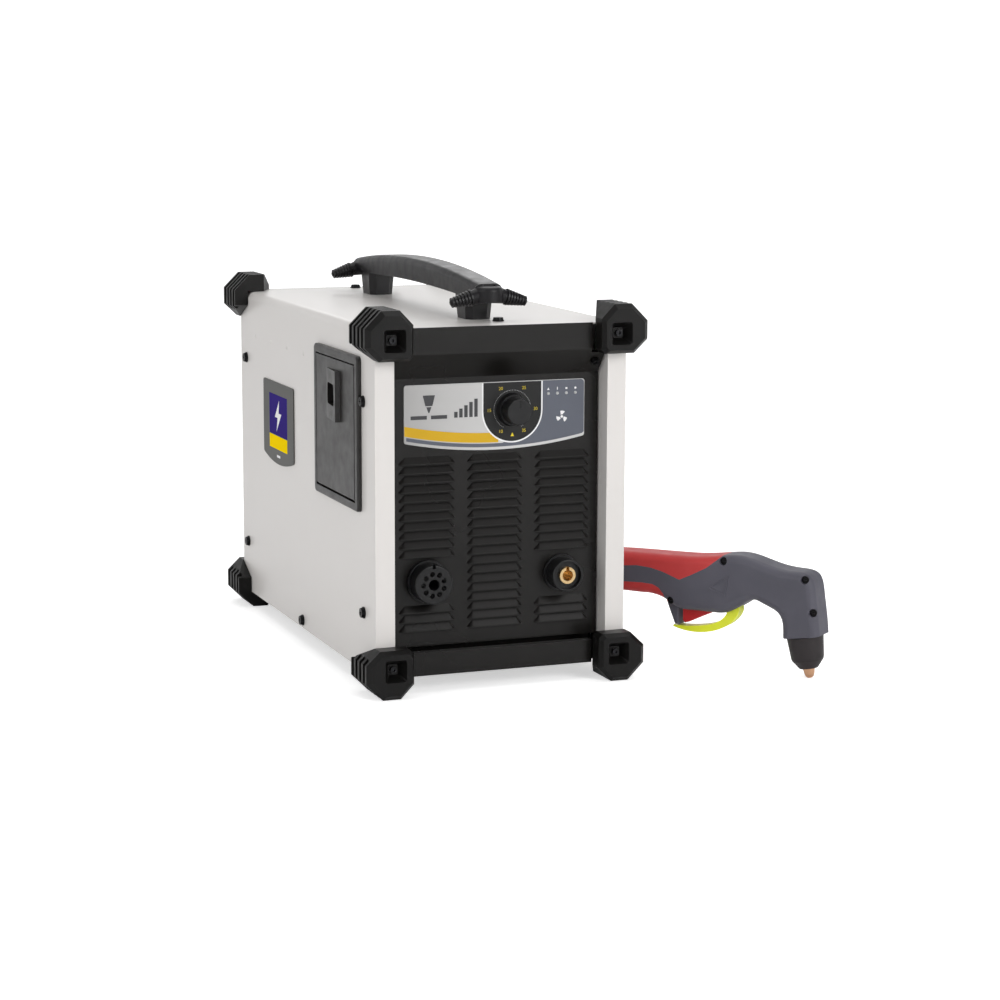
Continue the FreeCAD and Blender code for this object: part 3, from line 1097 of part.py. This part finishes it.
# ---- write every node ----
def main():
    os.makedirs("parts", exist_ok=True)
    for part in (cover, base_tray, front_panel, front_overlay, current_knob, potentiometer, control_board,
                 indicator_lights,
                 torch_socket_body, torch_socket_contacts, earth_socket_body, earth_socket_insert,
                 rear_panel, fan_frame,
                 fan_rotor, fan_guard, power_switch_body, power_switch_rocker, mains_gland, side_door_frame,
                 side_door,
                 door_latch, door_bin, side_badge, bumper_screws, cover_screws, panel_screws, handle_grip,
                 compressor_motor, compressor_crankcase, compressor_head, compressor_rotor,
                 compressor_dampers, air_hose,
                 shelf_plate, heatsink, power_board, transformer, capacitors, torch_holder):
        save(part.__name__, part())
    save("handle_post_front", handle_post(-1))
    save("handle_post_rear", handle_post(1))
    shapes = {"low": bumper(BUMPER_LOW + FIT), "high": bumper(H - BUMPER_HIGH + FIT)}
    for end in ("front", "rear"):
        for level in ("low", "high"):
            for name, side in (("left", -1), ("right", 1)):
                save("bumper_" + end + "_" + level + "_" + name,
                     placed_bumper(shapes[level], side, level, end))
    for part in (torch_grip, torch_trigger, torch_safety_lever, torch_cup, torch_nozzle, torch_electrode,
                 torch_screws,
                 torch_pivot_pins):
        save(part.__name__, torch_place(part()))
    save("torch_shell_left", torch_place(torch_shell(1)))
    save("torch_shell_right", torch_place(torch_shell(-1)))


main()
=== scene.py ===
import bpy
import bmesh
import json
import math
from mathutils import Matrix, Vector


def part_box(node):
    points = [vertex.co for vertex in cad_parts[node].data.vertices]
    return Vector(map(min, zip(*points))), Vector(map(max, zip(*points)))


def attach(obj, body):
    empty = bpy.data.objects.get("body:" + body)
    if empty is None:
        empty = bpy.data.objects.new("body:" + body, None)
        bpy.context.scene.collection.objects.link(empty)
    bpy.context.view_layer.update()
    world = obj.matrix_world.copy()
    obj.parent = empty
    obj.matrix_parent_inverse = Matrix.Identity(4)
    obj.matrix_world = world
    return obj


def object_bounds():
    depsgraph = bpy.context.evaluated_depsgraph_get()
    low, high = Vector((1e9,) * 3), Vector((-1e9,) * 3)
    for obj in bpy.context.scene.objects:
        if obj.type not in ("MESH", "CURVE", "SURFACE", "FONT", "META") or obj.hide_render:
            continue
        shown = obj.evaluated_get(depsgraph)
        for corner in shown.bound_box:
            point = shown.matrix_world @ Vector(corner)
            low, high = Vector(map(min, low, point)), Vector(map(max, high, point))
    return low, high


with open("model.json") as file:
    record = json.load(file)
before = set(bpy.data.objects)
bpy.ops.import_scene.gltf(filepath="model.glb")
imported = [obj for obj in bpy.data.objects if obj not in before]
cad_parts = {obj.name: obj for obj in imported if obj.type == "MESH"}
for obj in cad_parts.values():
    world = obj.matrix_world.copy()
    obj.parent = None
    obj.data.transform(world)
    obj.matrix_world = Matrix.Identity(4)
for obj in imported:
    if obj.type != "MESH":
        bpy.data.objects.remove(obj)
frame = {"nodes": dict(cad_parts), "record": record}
CAD_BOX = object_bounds()
MM = 0.001


# ---- materials ----
class Nodes:
    """A material's node tree with a Principled shader, and short calls that add to it."""

    def __init__(self, name, color, rough, metal=0.0, **inputs):
        self.mat = bpy.data.materials.new(name)
        self.mat.use_nodes = True
        self.tree = self.mat.node_tree
        self.shader = self.tree.nodes["Principled BSDF"]
        self.shader.inputs["Base Color"].default_value = (*color, 1)
        self.shader.inputs["Roughness"].default_value = rough
        self.shader.inputs["Metallic"].default_value = metal
        for key, value in inputs.items():
            self.shader.inputs[key.replace("_", " ")].default_value = value
        self.coords = self.add("ShaderNodeTexCoord").outputs["Object"]
        self.height = None

    def add(self, kind, **settings):
        node = self.tree.nodes.new(kind)
        for key, value in settings.items():
            setattr(node, key, value)
        return node

    def link(self, source, target):
        self.tree.links.new(source, target)

    def noise(self, scale, detail=3.0, rough=0.5, stretch=(1, 1, 1)):
        mapping = self.add("ShaderNodeMapping")
        mapping.inputs["Scale"].default_value = stretch
        self.link(self.coords, mapping.inputs["Vector"])
        node = self.add("ShaderNodeTexNoise")
        node.inputs["Scale"].default_value = scale
        node.inputs["Detail"].default_value = detail
        node.inputs["Roughness"].default_value = rough
        self.link(mapping.outputs[0], node.inputs["Vector"])
        return node.outputs["Fac"]

    def voronoi(self, scale, feature="F1"):
        node = self.add("ShaderNodeTexVoronoi", feature=feature)
        node.inputs["Scale"].default_value = scale
        self.link(self.coords, node.inputs["Vector"])
        return node.outputs["Distance"]

    def ramp(self, source, stops):
        node = self.add("ShaderNodeValToRGB")
        elements = node.color_ramp.elements
        elements[0].position, elements[1].position = stops[0][0], stops[-1][0]
        elements[0].color, elements[1].color = (*stops[0][1], 1), (*stops[-1][1], 1)
        for place, color in stops[1:-1]:
            elements.new(place).color = (*color, 1)
        self.link(source, node.inputs["Fac"])
        return node.outputs["Color"]

    def spread(self, source, low, high, start=0.3, end=0.7):
        node = self.add("ShaderNodeMapRange")
        node.inputs["From Min"].default_value = start
        node.inputs["From Max"].default_value = end
        node.inputs["To Min"].default_value = low
        node.inputs["To Max"].default_value = high
        self.link(source, node.inputs["Value"])
        return node.outputs["Result"]

    def mix(self, factor, a, b):
        node = self.add("ShaderNodeMix", data_type="RGBA")
        for value, socket in ((factor, node.inputs[0]), (a, node.inputs[6]), (b, node.inputs[7])):
            if hasattr(value, "links"):
                self.link(value, socket)
            elif isinstance(value, tuple):
                socket.default_value = (*value, 1)
            else:
                socket.default_value = value
        return node.outputs[2]

    def color(self, source):
        self.link(source, self.shader.inputs["Base Color"])

    def roughness(self, source, low, high, start=0.3, end=0.7):
        self.link(self.spread(source, low, high, start, end), self.shader.inputs["Roughness"])

    def bump(self, source, strength, distance):
        node = self.add("ShaderNodeBump")
        node.inputs["Strength"].default_value = strength
        node.inputs["Distance"].default_value = distance
        self.link(source, node.inputs["Height"])
        if self.height is not None:
            self.link(self.height, node.inputs["Normal"])
        self.height = node.outputs["Normal"]
        self.link(self.height, self.shader.inputs["Normal"])

    def painted_gap_shade(self, reach, floor):
        """1 in the open and down to floor in narrow gaps: an ambient occlusion factor used to paint shade
        into gaps.
        """
        node = self.add("ShaderNodeAmbientOcclusion", samples=8)
        node.inputs["Distance"].default_value = reach
        return self.spread(node.outputs["AO"], floor, 1.0, 0.25, 0.85)

    def edges(self, width=0.0006):
        """0 on flat faces and 1 on sharp outer edges, where a finish wears."""
        bevel = self.add("ShaderNodeBevel", samples=4)
        bevel.inputs["Radius"].default_value = width
        geometry = self.add("ShaderNodeNewGeometry")
        dot = self.add("ShaderNodeVectorMath", operation="DOT_PRODUCT")
        self.link(bevel.outputs[0], dot.inputs[0])
        self.link(geometry.outputs["Normal"], dot.inputs[1])
        return self.spread(dot.outputs["Value"], 1.0, 0.0, 0.75, 0.98)


def painted(name, color, rough, peel=0.25, tint=0.03, wear=None, coat=0.0, gloss=0.5, shade_gaps=0.0):
    """Powder coat: orange peel, faint mottling, paler edges where wear is given, and painted shade in narrow
    gaps where shade_gaps is given.
    """
    n = Nodes(name, color, rough, Coat_Weight=coat, Coat_Roughness=0.25, Specular_IOR_Level=gloss)
    mottle = n.noise(9.0, 4.0)
    dark = tuple(c * (1 - tint) for c in color)
    light = tuple(min(1.0, c * (1 + tint)) for c in color)
    shade = n.ramp(mottle, [(0.3, dark), (0.7, light)])
    if wear:
        shade = n.mix(n.edges(), shade, wear)
    # painted shade: in narrow gaps the colour goes to near black and the reflection fades, by ambient
    # occlusion within shade_gaps
    if shade_gaps:
        open_sky = n.painted_gap_shade(shade_gaps, 0.0)
        shade = n.mix(open_sky, (0.0012, 0.0011, 0.0010), shade)
        n.link(n.spread(open_sky, 0.02, gloss, 0.0, 1.0), n.shader.inputs["Specular IOR Level"])
    n.color(shade)
    n.roughness(n.noise(12.0, 2.0), rough - 0.015, rough + 0.015)
    n.bump(n.noise(900.0, 2.0), peel, 0.00008)
    n.bump(n.noise(260.0, 2.0), peel * 0.6, 0.00015)
    return n.mat


def plastic(name, color, rough, grain=0.35, scale=1500.0, tint=0.06, wear=0.25, **inputs):
    """Moulded plastic or rubber: spark-eroded grain, slight blotches and rubbed edges."""
    n = Nodes(name, color, rough, **inputs)
    dark = tuple(c * (1 - tint) for c in color)
    light = tuple(min(1.0, c * (1 + tint)) for c in color)
    rubbed = tuple(min(1.0, c * (1 + wear) + 0.02 * wear) for c in color)
    n.color(n.mix(n.edges(0.0008), n.ramp(n.noise(35.0, 4.0), [(0.3, dark), (0.7, light)]), rubbed))
    n.roughness(n.noise(80.0, 4.0), rough - 0.06, rough + 0.06)
    n.bump(n.voronoi(scale), grain, 0.00006)
    return n.mat


def metal(name, color, rough, stretch=(1, 1, 1), brush=0.2, wear=0.1):
    """Turned, brushed or plated metal, with its grain along stretch's smallest axis."""
    n = Nodes(name, color, rough, 1.0)
    dark = tuple(c * (1 - wear) for c in color)
    n.color(n.ramp(n.noise(60.0, 5.0), [(0.3, dark), (0.7, color)]))
    n.roughness(n.noise(500.0, 3.0, stretch=stretch), rough - 0.06, rough + 0.1)
    n.bump(n.noise(1200.0, 2.0, stretch=stretch), brush, 0.00004)
    return n.mat


def silver_print():
    """The overlay's silver, which gets lighter from its left end to the dial."""
    n = Nodes("overlay_silver_print", (0.5, 0.5, 0.5), 0.34)
    split = n.add("ShaderNodeSeparateXYZ")
    n.link(n.coords, split.inputs[0])
    along = n.spread(split.outputs["X"], 0.0, 1.0, -0.09, 0.005)
    n.color(n.mix(along, (0.36, 0.355, 0.35), (0.53, 0.525, 0.52)))
    n.bump(n.noise(900.0, 2.0), 0.1, 0.00008)
    return n.mat


MAT = {
    "cover_paint": painted("cover_powder_coat", (0.66, 0.635, 0.615), 0.33, 0.10, 0.006,
                           (0.70, 0.68, 0.66), 0.3),
    # the black coat's last argument, 0.007, paints shade into its narrow gaps
    "black_paint": painted("black_powder_coat", (0.0060, 0.0053, 0.0048), 0.28, 0.12, 0.15,
                           (0.026, 0.024, 0.022), 0.0, 0.26, 0.007),
    "zinc_steel": metal("zinc_plated_steel", (0.60, 0.61, 0.62), 0.35, (1, 0.1, 1)),
    "black_screw": metal("black_oxide_screw", (0.018, 0.018, 0.019), 0.34),
    "silver_screw": metal("dark_zinc_screw", (0.028, 0.028, 0.030), 0.36),
    "overlay_print": silver_print(),
    "black_plastic": plastic("black_plastic", (0.006, 0.006, 0.0065), 0.38, Specular_IOR_Level=0.3),
    "handle_plastic": plastic("handle_plastic", (0.0075, 0.0070, 0.0082), 0.36, 0.15,
                              Specular_IOR_Level=0.28),
    "bumper_rubber": plastic("bumper_rubber", (0.0045, 0.0042, 0.004), 0.40, 0.35, Specular_IOR_Level=0.2),
    "damper_rubber": plastic("damper_rubber", (0.03, 0.03, 0.03), 0.7),
    "lens_plastic": plastic("indicator_lens", (0.5, 0.5, 0.5), 0.2, 0.05),
    "brass": metal("brass", (0.66, 0.47, 0.24), 0.25, (1, 0.15, 1)),
    "contact_metal": metal("plated_contacts", (0.7, 0.7, 0.7), 0.2),
    "board_green": painted("solder_mask", (0.012, 0.09, 0.03), 0.4, 0.15, 0.3),
    "door_plastic": plastic("door_plastic", (0.012, 0.0105, 0.0098), 0.36, 0.15, 900.0,
                            Specular_IOR_Level=0.5),
    "badge_plate": painted("badge_plate", (0.060, 0.060, 0.055), 0.42, 0.1, 0.06, None, 0.0, 0.3),
    "cast_body": metal("cast_aluminium", (0.5, 0.5, 0.5), 0.55, (1, 1, 1), 0.5),
    "motor_paint": painted("motor_paint", (0.02, 0.03, 0.05), 0.4),
    "hose_rubber": plastic("hose_rubber", (0.02, 0.02, 0.025), 0.5),
    "transformer_core": metal("transformer_core", (0.12, 0.10, 0.09), 0.6, (1, 1, 0.05), 0.5),
    "capacitor_sleeve": plastic("capacitor_sleeve", (0.02, 0.02, 0.07), 0.25, 0.1),
    "torch_grey": plastic("torch_shell", (0.076, 0.074, 0.094), 0.50, 0.4, Specular_IOR_Level=0.35),
    "torch_red": plastic("torch_soft_grip", (0.47, 0.036, 0.036), 0.52, 0.45, Specular_IOR_Level=0.35),
    "trigger_red": plastic("trigger_red", (0.48, 0.018, 0.020), 0.35, 0.15),
    "lever_lime": plastic("lever_lime", (0.76, 0.82, 0.04), 0.35, 0.15, Specular_IOR_Level=0.35),
    "cup_dark": plastic("cup_dark", (0.020, 0.016, 0.017), 0.5, 0.4, Specular_IOR_Level=0.3),
    "copper": metal("copper", (0.70, 0.41, 0.25), 0.36, (1, 1, 0.2)),
}
for part in frame["record"]["subparts"]:
    obj = frame["nodes"][part["node"]]
    for index in range(max(1, len(obj.material_slots))):
        if not obj.material_slots:
            obj.data.materials.append(MAT[part["material_slot"]])
        else:
            obj.material_slots[index].material = MAT[part["material_slot"]]


def even_shading(obj):
    """Shade long thin facets by their area, so that a curved moulding shows no streaks."""
    weld = obj.modifiers.new("weld", "WELD")
    weld.merge_threshold = 0.00002
    split = obj.modifiers.new("split", "EDGE_SPLIT")
    split.split_angle = math.radians(28)
    obj.modifiers.new("normals", "WEIGHTED_NORMAL").keep_sharp = True


for node in ("handle_grip", "torch_shell_left", "torch_shell_right", "torch_grip", "torch_safety_lever"):
    even_shading(frame["nodes"][node])


# ---- flat prints ----
PRINT = {
    "slate": painted("print_slate_blue", (0.080, 0.088, 0.115), 0.36, 0.1, 0.06),
    "yellow": painted("print_yellow", (0.58, 0.345, 0.004), 0.36, 0.1, 0.04, None, 0.0, 0.3),
    "black": painted("print_black", (0.006, 0.006, 0.006), 0.34, 0.1, 0.1, None, 0.0, 0.3),
    "white": painted("print_white", (0.78, 0.78, 0.78), 0.36, 0.1, 0.02),
    "ink": painted("print_dark_grey", (0.03, 0.03, 0.034), 0.36, 0.1, 0.08),
    "dial": painted("print_dial_yellow", (0.80, 0.62, 0.04), 0.4, 0.1, 0.04, None, 0.0, 0.1),
    "badge_blue": painted("print_badge_blue", (0.043, 0.028, 0.188), 0.5, 0.05, 0.05, None, 0.0, 0.0),
    "badge_yellow": painted("print_badge_yellow", (0.92, 0.65, 0.005), 0.5, 0.05, 0.04, None, 0.0, 0.0),
}


class Plane:
    """A flat face that prints lie on: an origin, the directions to the right and up, and the way out."""

    def __init__(self, origin, right, up, body, slot):
        self.origin, self.right, self.up = Vector(origin), Vector(right), Vector(up)
        self.out = self.right.cross(self.up)
        self.body, self.slot = body, slot

    def at(self, u, v, height=0.0):
        return self.origin + self.right * u * MM + self.up * v * MM + self.out * height * MM

    def keep(self, name, mesh, ink):
        mesh.materials.append(PRINT[ink] if ink in PRINT else MAT[ink])
        obj = bpy.data.objects.new(name, mesh)
        bpy.context.collection.objects.link(obj)
        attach(obj, self.body)
        return obj

    def shape(self, name, outlines, ink, low=0.0, high=0.12):
        """Filled outlines in millimetres, standing from low to high above the plane."""
        bm = bmesh.new()
        for outline in outlines:
            top = [bm.verts.new(self.at(u, v, high)) for u, v in outline]
            base = [bm.verts.new(self.at(u, v, low)) for u, v in outline]
            bm.faces.new(top)
            bm.faces.new(base[::-1])
            for i in range(len(outline)):
                j = (i + 1) % len(outline)
                bm.faces.new((top[i], base[i], base[j], top[j]))
        bmesh.ops.recalc_face_normals(bm, faces=bm.faces)
        mesh = bpy.data.meshes.new(name)
        bm.to_mesh(mesh)
        return self.keep(name, mesh, ink)

    def band(self, name, inner, outer, ink, closed=False, low=0.0, high=0.12):
        """A strip between two lines with the same number of points."""
        count = len(inner) if closed else len(inner) - 1
        quads = []
        for i in range(count):
            j = (i + 1) % len(inner)
            quads.append((inner[i], inner[j], outer[j], outer[i]))
        return self.shape(name, quads, ink, low, high)

    def number(self, name, words, u, v, size, ink):
        data = bpy.data.curves.new(name, "FONT")
        data.body, data.size, data.extrude = words, size * MM, 0.06 * MM
        data.offset = -0.05 * MM
        data.align_x, data.align_y = "CENTER", "CENTER"
        text = bpy.data.objects.new(name + "_curve", data)
        bpy.context.collection.objects.link(text)
        bpy.context.view_layer.update()
        mesh = bpy.data.meshes.new_from_object(text.evaluated_get(bpy.context.evaluated_depsgraph_get()))
        bpy.data.objects.remove(text)
        turn = Matrix((self.right, self.up, self.out)).transposed().to_4x4()
        mesh.transform(Matrix.Translation(self.at(u, v, 0.07)) @ turn)
        mesh.materials.clear()
        return self.keep(name, mesh, ink)


def arc(u, v, radius, start, end, steps):
    """Points of an arc, with angles in degrees clockwise from straight up."""
    turns = [math.radians(start + (end - start) * i / steps) for i in range(steps + 1)]
    return [(u + radius * math.sin(a), v + radius * math.cos(a)) for a in turns]


def ladder(start, end, steps):
    return [start + (end - start) * i / steps for i in range(steps + 1)]


low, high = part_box("front_overlay")
knob_low, knob_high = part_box("current_knob")
HALF = (high[0] - low[0]) / 2 / MM
TOP = high[2] / MM
SAG = low[2] / MM
RISE = 9.6                                  # how much higher the overlay's lower edge is at its ends
DIAL_U = (knob_low[0] + knob_high[0]) / 2 / MM
DIAL_V = (knob_low[2] + knob_high[2]) / 2 / MM
panel = Plane((0, low[1], 0), (1, 0, 0), (0, 0, 1), "cabinet", "overlay_print")


def lower_edge(u, lift):
    return SAG + RISE * (u / HALF) ** 2 + lift


def overlay():
    steps = ladder(-HALF + 2.2, HALF - 2.2, 24)
    base = [(u, lower_edge(u, 2.6)) for u in steps] + [(HALF - 0.4, lower_edge(HALF, 3.6))]
    right_side = [(HALF - 0.4, TOP - 3.2), (HALF - 1.3, TOP - 1.3), (HALF - 3.2, TOP - 0.4),
                  (DIAL_U + 29.6, TOP - 0.4)]
    join = [(DIAL_U + 29.6, 236.0), (DIAL_U + 20.0, 226.0)]
    upper = [(u, lower_edge(u, 6.0)) for u in ladder(DIAL_U - 10, -HALF + 2.2, 12)]
    panel.shape("overlay_slate_area", [base + right_side + join + upper], "slate", 0.0, 0.05)
    left = ladder(-HALF + 0.3, DIAL_U - 14.0, 16)
    below, above = [[(u, lower_edge(u, lift)) for u in left] for lift in (6.9, 16.2)]
    panel.band("overlay_yellow_band", below, above, "yellow", False, 0.0, 0.07)
    for name, ink, radius, height in (("overlay_dial_outline", "white", 30.6, 0.10),
                                      ("overlay_dial_area", "black", 29.2, 0.13)):
        bottom = arc(DIAL_U, DIAL_V - 0.7, radius, 90, 270, 28)
        flat_edge = [(DIAL_U - radius, TOP - 0.6), (DIAL_U + radius, TOP - 0.6)]
        panel.shape(name, [flat_edge + bottom], ink, 0.0, height)
    dots = [arc(*point, 0.24, 0, 315, 7) for point in arc(DIAL_U, DIAL_V, 18.6, -150, 150, 60)]
    panel.shape("dial_dots", dots, "white", 0.1, 0.17)
    for index in range(6):
        angle = math.radians(-150 + 60 * index)
        u, v = DIAL_U + 23.4 * math.sin(angle), DIAL_V + 23.4 * math.cos(angle)
        piece = panel.number("dial_number_" + str(index), str(10 + 5 * index), u, v, 4.3, "dial")
        piece.data.transform(Matrix.Translation(panel.out * 0.1 * MM))
    nozzle = [[(-72, 262), (-60, 262), (-62.5, 252), (-69.5, 252)],
              [(-68.5, 251), (-63.5, 251), (-65.4, 245.6), (-66.6, 245.6)]]
    plates = [[(-84, 243), (-68, 243), (-68, 239.5), (-84, 239.5)],
              [(-64, 243), (-48, 243), (-48, 239.5), (-64, 239.5)]]
    panel.shape("overlay_cutting_symbol", nozzle + plates, "ink")
    index_mark = [(DIAL_U - 1.7, DIAL_V - 25.2), (DIAL_U + 1.7, DIAL_V - 25.2), (DIAL_U, DIAL_V - 21.6)]
    panel.shape("dial_index_mark", [index_mark], "dial", 0.1, 0.18)
    bars = [[(u, 240), (u + 3.4, 240), (u + 3.4, 245.5 + 2.9 * i), (u, 245.5 + 2.9 * i)]
            for i, u in enumerate((-41, -36, -31, -26, -21))]
    panel.shape("overlay_level_bars", bars, "ink")
    hub = (67.5, 236.5)
    blades = [arc(*hub, 1.3, 0, 330, 11)]
    for turn in (0, 120, 240):
        blades.append(arc(*hub, 2.0, turn - 34, turn + 20, 4) + arc(*hub, 5.6, turn + 34, turn - 16, 6))
    panel.shape("overlay_fan_symbol", blades, "white", 0.05, 0.12)
    icons = [[(52.4, 262.4), (54.8, 262.4), (53.6, 264.6)],
             [(62.4, 262.2), (63.2, 262.2), (63.2, 265.0), (62.4, 265.0)],
             [(71.0, 262.6), (73.0, 262.6), (73.0, 264.4), (71.0, 264.4)], arc(81.2, 263.5, 1.1, 0, 324, 9)]
    panel.shape("overlay_light_symbols", icons, "white", 0.05, 0.12)


overlay()


def badge():
    low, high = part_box("side_badge")
    plane = Plane((low[0], 0, 0), (0, -1, 0), (0, 0, 1), "cabinet", "badge_plate")
    centre = -(low[1] + high[1]) / 2 / MM
    top = high[2] / MM
    half = 33.0

    def block(u0, u1, v0, v1):
        return [(centre + u0, v0), (centre + u1, v0), (centre + u1, v1), (centre + u0, v1)]

    plane.shape("badge_blue_field", [block(-half, half, top - 55, top - 12.8)], "badge_blue")
    plane.shape("badge_yellow_field", [block(-half, half, top - 69.6, top - 55.6)], "badge_yellow")
    bolt = [(4, 16.5), (-12, -2), (-2, -2), (-6, -16.5), (12, 3), (2, 3)]
    plane.shape("badge_bolt", [[(centre + u, top - 34.5 + v) for u, v in bolt]], "white", 0.1, 0.2)
    plane.shape("badge_bar", [block(-6, 6, top - 78, top - 75.5)], "white")


badge()


def torch_triangle():
    """The raised triangle on each side of the torch's shell."""
    angle = math.radians(50.8)              # the torch's heading, clockwise from the cabinet's right
    half_thickness = 17.45
    lean = 2.4                              # from the middle of the tilted nozzle to its tip
    forward = Vector((math.cos(angle), -math.sin(angle), 0))
    across = Vector((math.sin(angle), math.cos(angle), 0))
    low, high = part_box("torch_nozzle")
    tip = Vector(((low[0] + high[0]) / 2, (low[1] + high[1]) / 2, low[2])) + forward * lean * MM
    corners = [(-100.5, 81.0), (-78.5, 94.5), (-81.8, 74.5)]
    middle = (sum(c[0] for c in corners) / 3, sum(c[1] for c in corners) / 3)
    for name, side in (("torch_triangle_left", 1), ("torch_triangle_right", -1)):
        right = forward if side < 0 else -forward
        plane = Plane(tip + across * side * half_thickness * MM, right, (0, 0, 1), "torch", "torch_grey")
        sign = 1 if side < 0 else -1
        rings = []
        for share in (1.0, 0.82):
            rings.append([(sign * (middle[0] + (s - middle[0]) * share), middle[1] + (z - middle[1]) * share)
                          for s, z in corners])
        plane.band(name, rings[1], rings[0], "torch_grey", True, 0.0, 0.7)


torch_triangle()


# ---- floor, light and camera ----
floor_z = CAD_BOX[0][2]


def floor():
    """A round sheet of studio paper that curves up all the way round."""
    flat, rise, height = 3.4, 1.2, 1.6      # radius of the flat part, radius of the curve, wall above it
    steps, around = 8, 96
    profile = [(0.02, 0.0), (1.2, 0.0), (2.4, 0.0), (flat, 0.0)]
    for step in range(1, steps + 1):
        angle = math.radians(90 * step / steps)
        profile.append((flat + rise * math.sin(angle), rise - rise * math.cos(angle)))
    profile.append((flat + rise, rise + height))
    verts, faces = [], []
    for radius, z in profile:
        for turn in range(around):
            angle = 2 * math.pi * turn / around
            verts.append((radius * math.sin(angle), radius * math.cos(angle), z + floor_z))
    for ring in range(len(profile) - 1):
        for turn in range(around):
            a, b = ring * around + turn, ring * around + (turn + 1) % around
            faces.append((a, b, b + around, a + around))
    faces.append(tuple(range(around)))
    mesh = bpy.data.meshes.new("floor")
    mesh.from_pydata(verts, [], faces)
    for polygon in mesh.polygons:
        polygon.use_smooth = len(polygon.vertices) == 4
    obj = bpy.data.objects.new("floor", mesh)
    bpy.context.collection.objects.link(obj)
    n = Nodes("floor_paper", (0.90, 0.90, 0.90), 0.8, Emission_Color=(1, 1, 1, 1))
    seen = n.add("ShaderNodeLightPath").outputs["Is Camera Ray"]
    n.link(n.spread(seen, 0.05, 0.55, 0.0, 1.0), n.shader.inputs["Emission Strength"])
    n.color(n.ramp(n.noise(3.0), [(0.3, (0.895, 0.895, 0.895)), (0.7, (0.91, 0.91, 0.91))]))
    mesh.materials.append(n.mat)


floor()


def area(name, place, target, size, power):
    data = bpy.data.lights.new(name, "AREA")
    data.shape, data.size, data.energy = "SQUARE", size, power
    obj = bpy.data.objects.new(name, data)
    obj.location = place
    obj.rotation_euler = (Vector(target) - Vector(place)).to_track_quat("-Z", "Y").to_euler()
    bpy.context.collection.objects.link(obj)


def studio_world():
    """White all round, brighter near the horizon than overhead."""
    world = bpy.data.worlds.new("studio")
    world.use_nodes = True
    tree = world.node_tree
    backdrop = tree.nodes["Background"]
    backdrop.inputs["Color"].default_value = (1, 1, 1, 1)
    sky = tree.nodes.new("ShaderNodeTexCoord")
    split = tree.nodes.new("ShaderNodeSeparateXYZ")
    fade = tree.nodes.new("ShaderNodeMapRange")
    for socket, value in (("From Min", 0.05), ("From Max", 0.75), ("To Min", 0.62), ("To Max", 0.26)):
        fade.inputs[socket].default_value = value
    tree.links.new(sky.outputs["Generated"], split.inputs[0])
    tree.links.new(split.outputs["Z"], fade.inputs["Value"])
    tree.links.new(fade.outputs["Result"], backdrop.inputs["Strength"])
    bpy.context.scene.world = world


area("key", (1.3, -3.2, 1.5), (0, 0, 0.15), 1.6, 58)
area("fill", (-2.8, -1.0, 1.5), (0, 0, 0.15), 2.0, 21)
area("top", (0.1, 0.2, 2.6), (0, 0, 0.2), 2.4, 28)
area("rear", (1.2, 3.0, 2.2), (0, 0, 0.15), 2.0, 20)
studio_world()
bpy.context.scene.view_settings.view_transform = "Standard"


def camera():
    yaw, pitch, roll = math.radians(20.83), math.radians(9.44), math.radians(0.198)
    forward = Vector((math.sin(yaw) * math.cos(pitch), math.cos(yaw) * math.cos(pitch), -math.sin(pitch)))
    level = Vector((math.cos(yaw), -math.sin(yaw), 0))
    upward = level.cross(forward)
    right = level * math.cos(roll) + upward * math.sin(roll)
    up = upward * math.cos(roll) - level * math.sin(roll)
    data = bpy.data.cameras.new("camera")
    data.lens, data.sensor_width = 90.57, 36.0
    data.clip_end = 50
    obj = bpy.data.objects.new("camera", data)
    turn = Matrix((right, up, -forward)).transposed()
    obj.matrix_world = Matrix.Translation((-0.8293, -2.4079, 0.5497)) @ turn.to_4x4()
    bpy.context.collection.objects.link(obj)
    bpy.context.scene.camera = obj


camera()
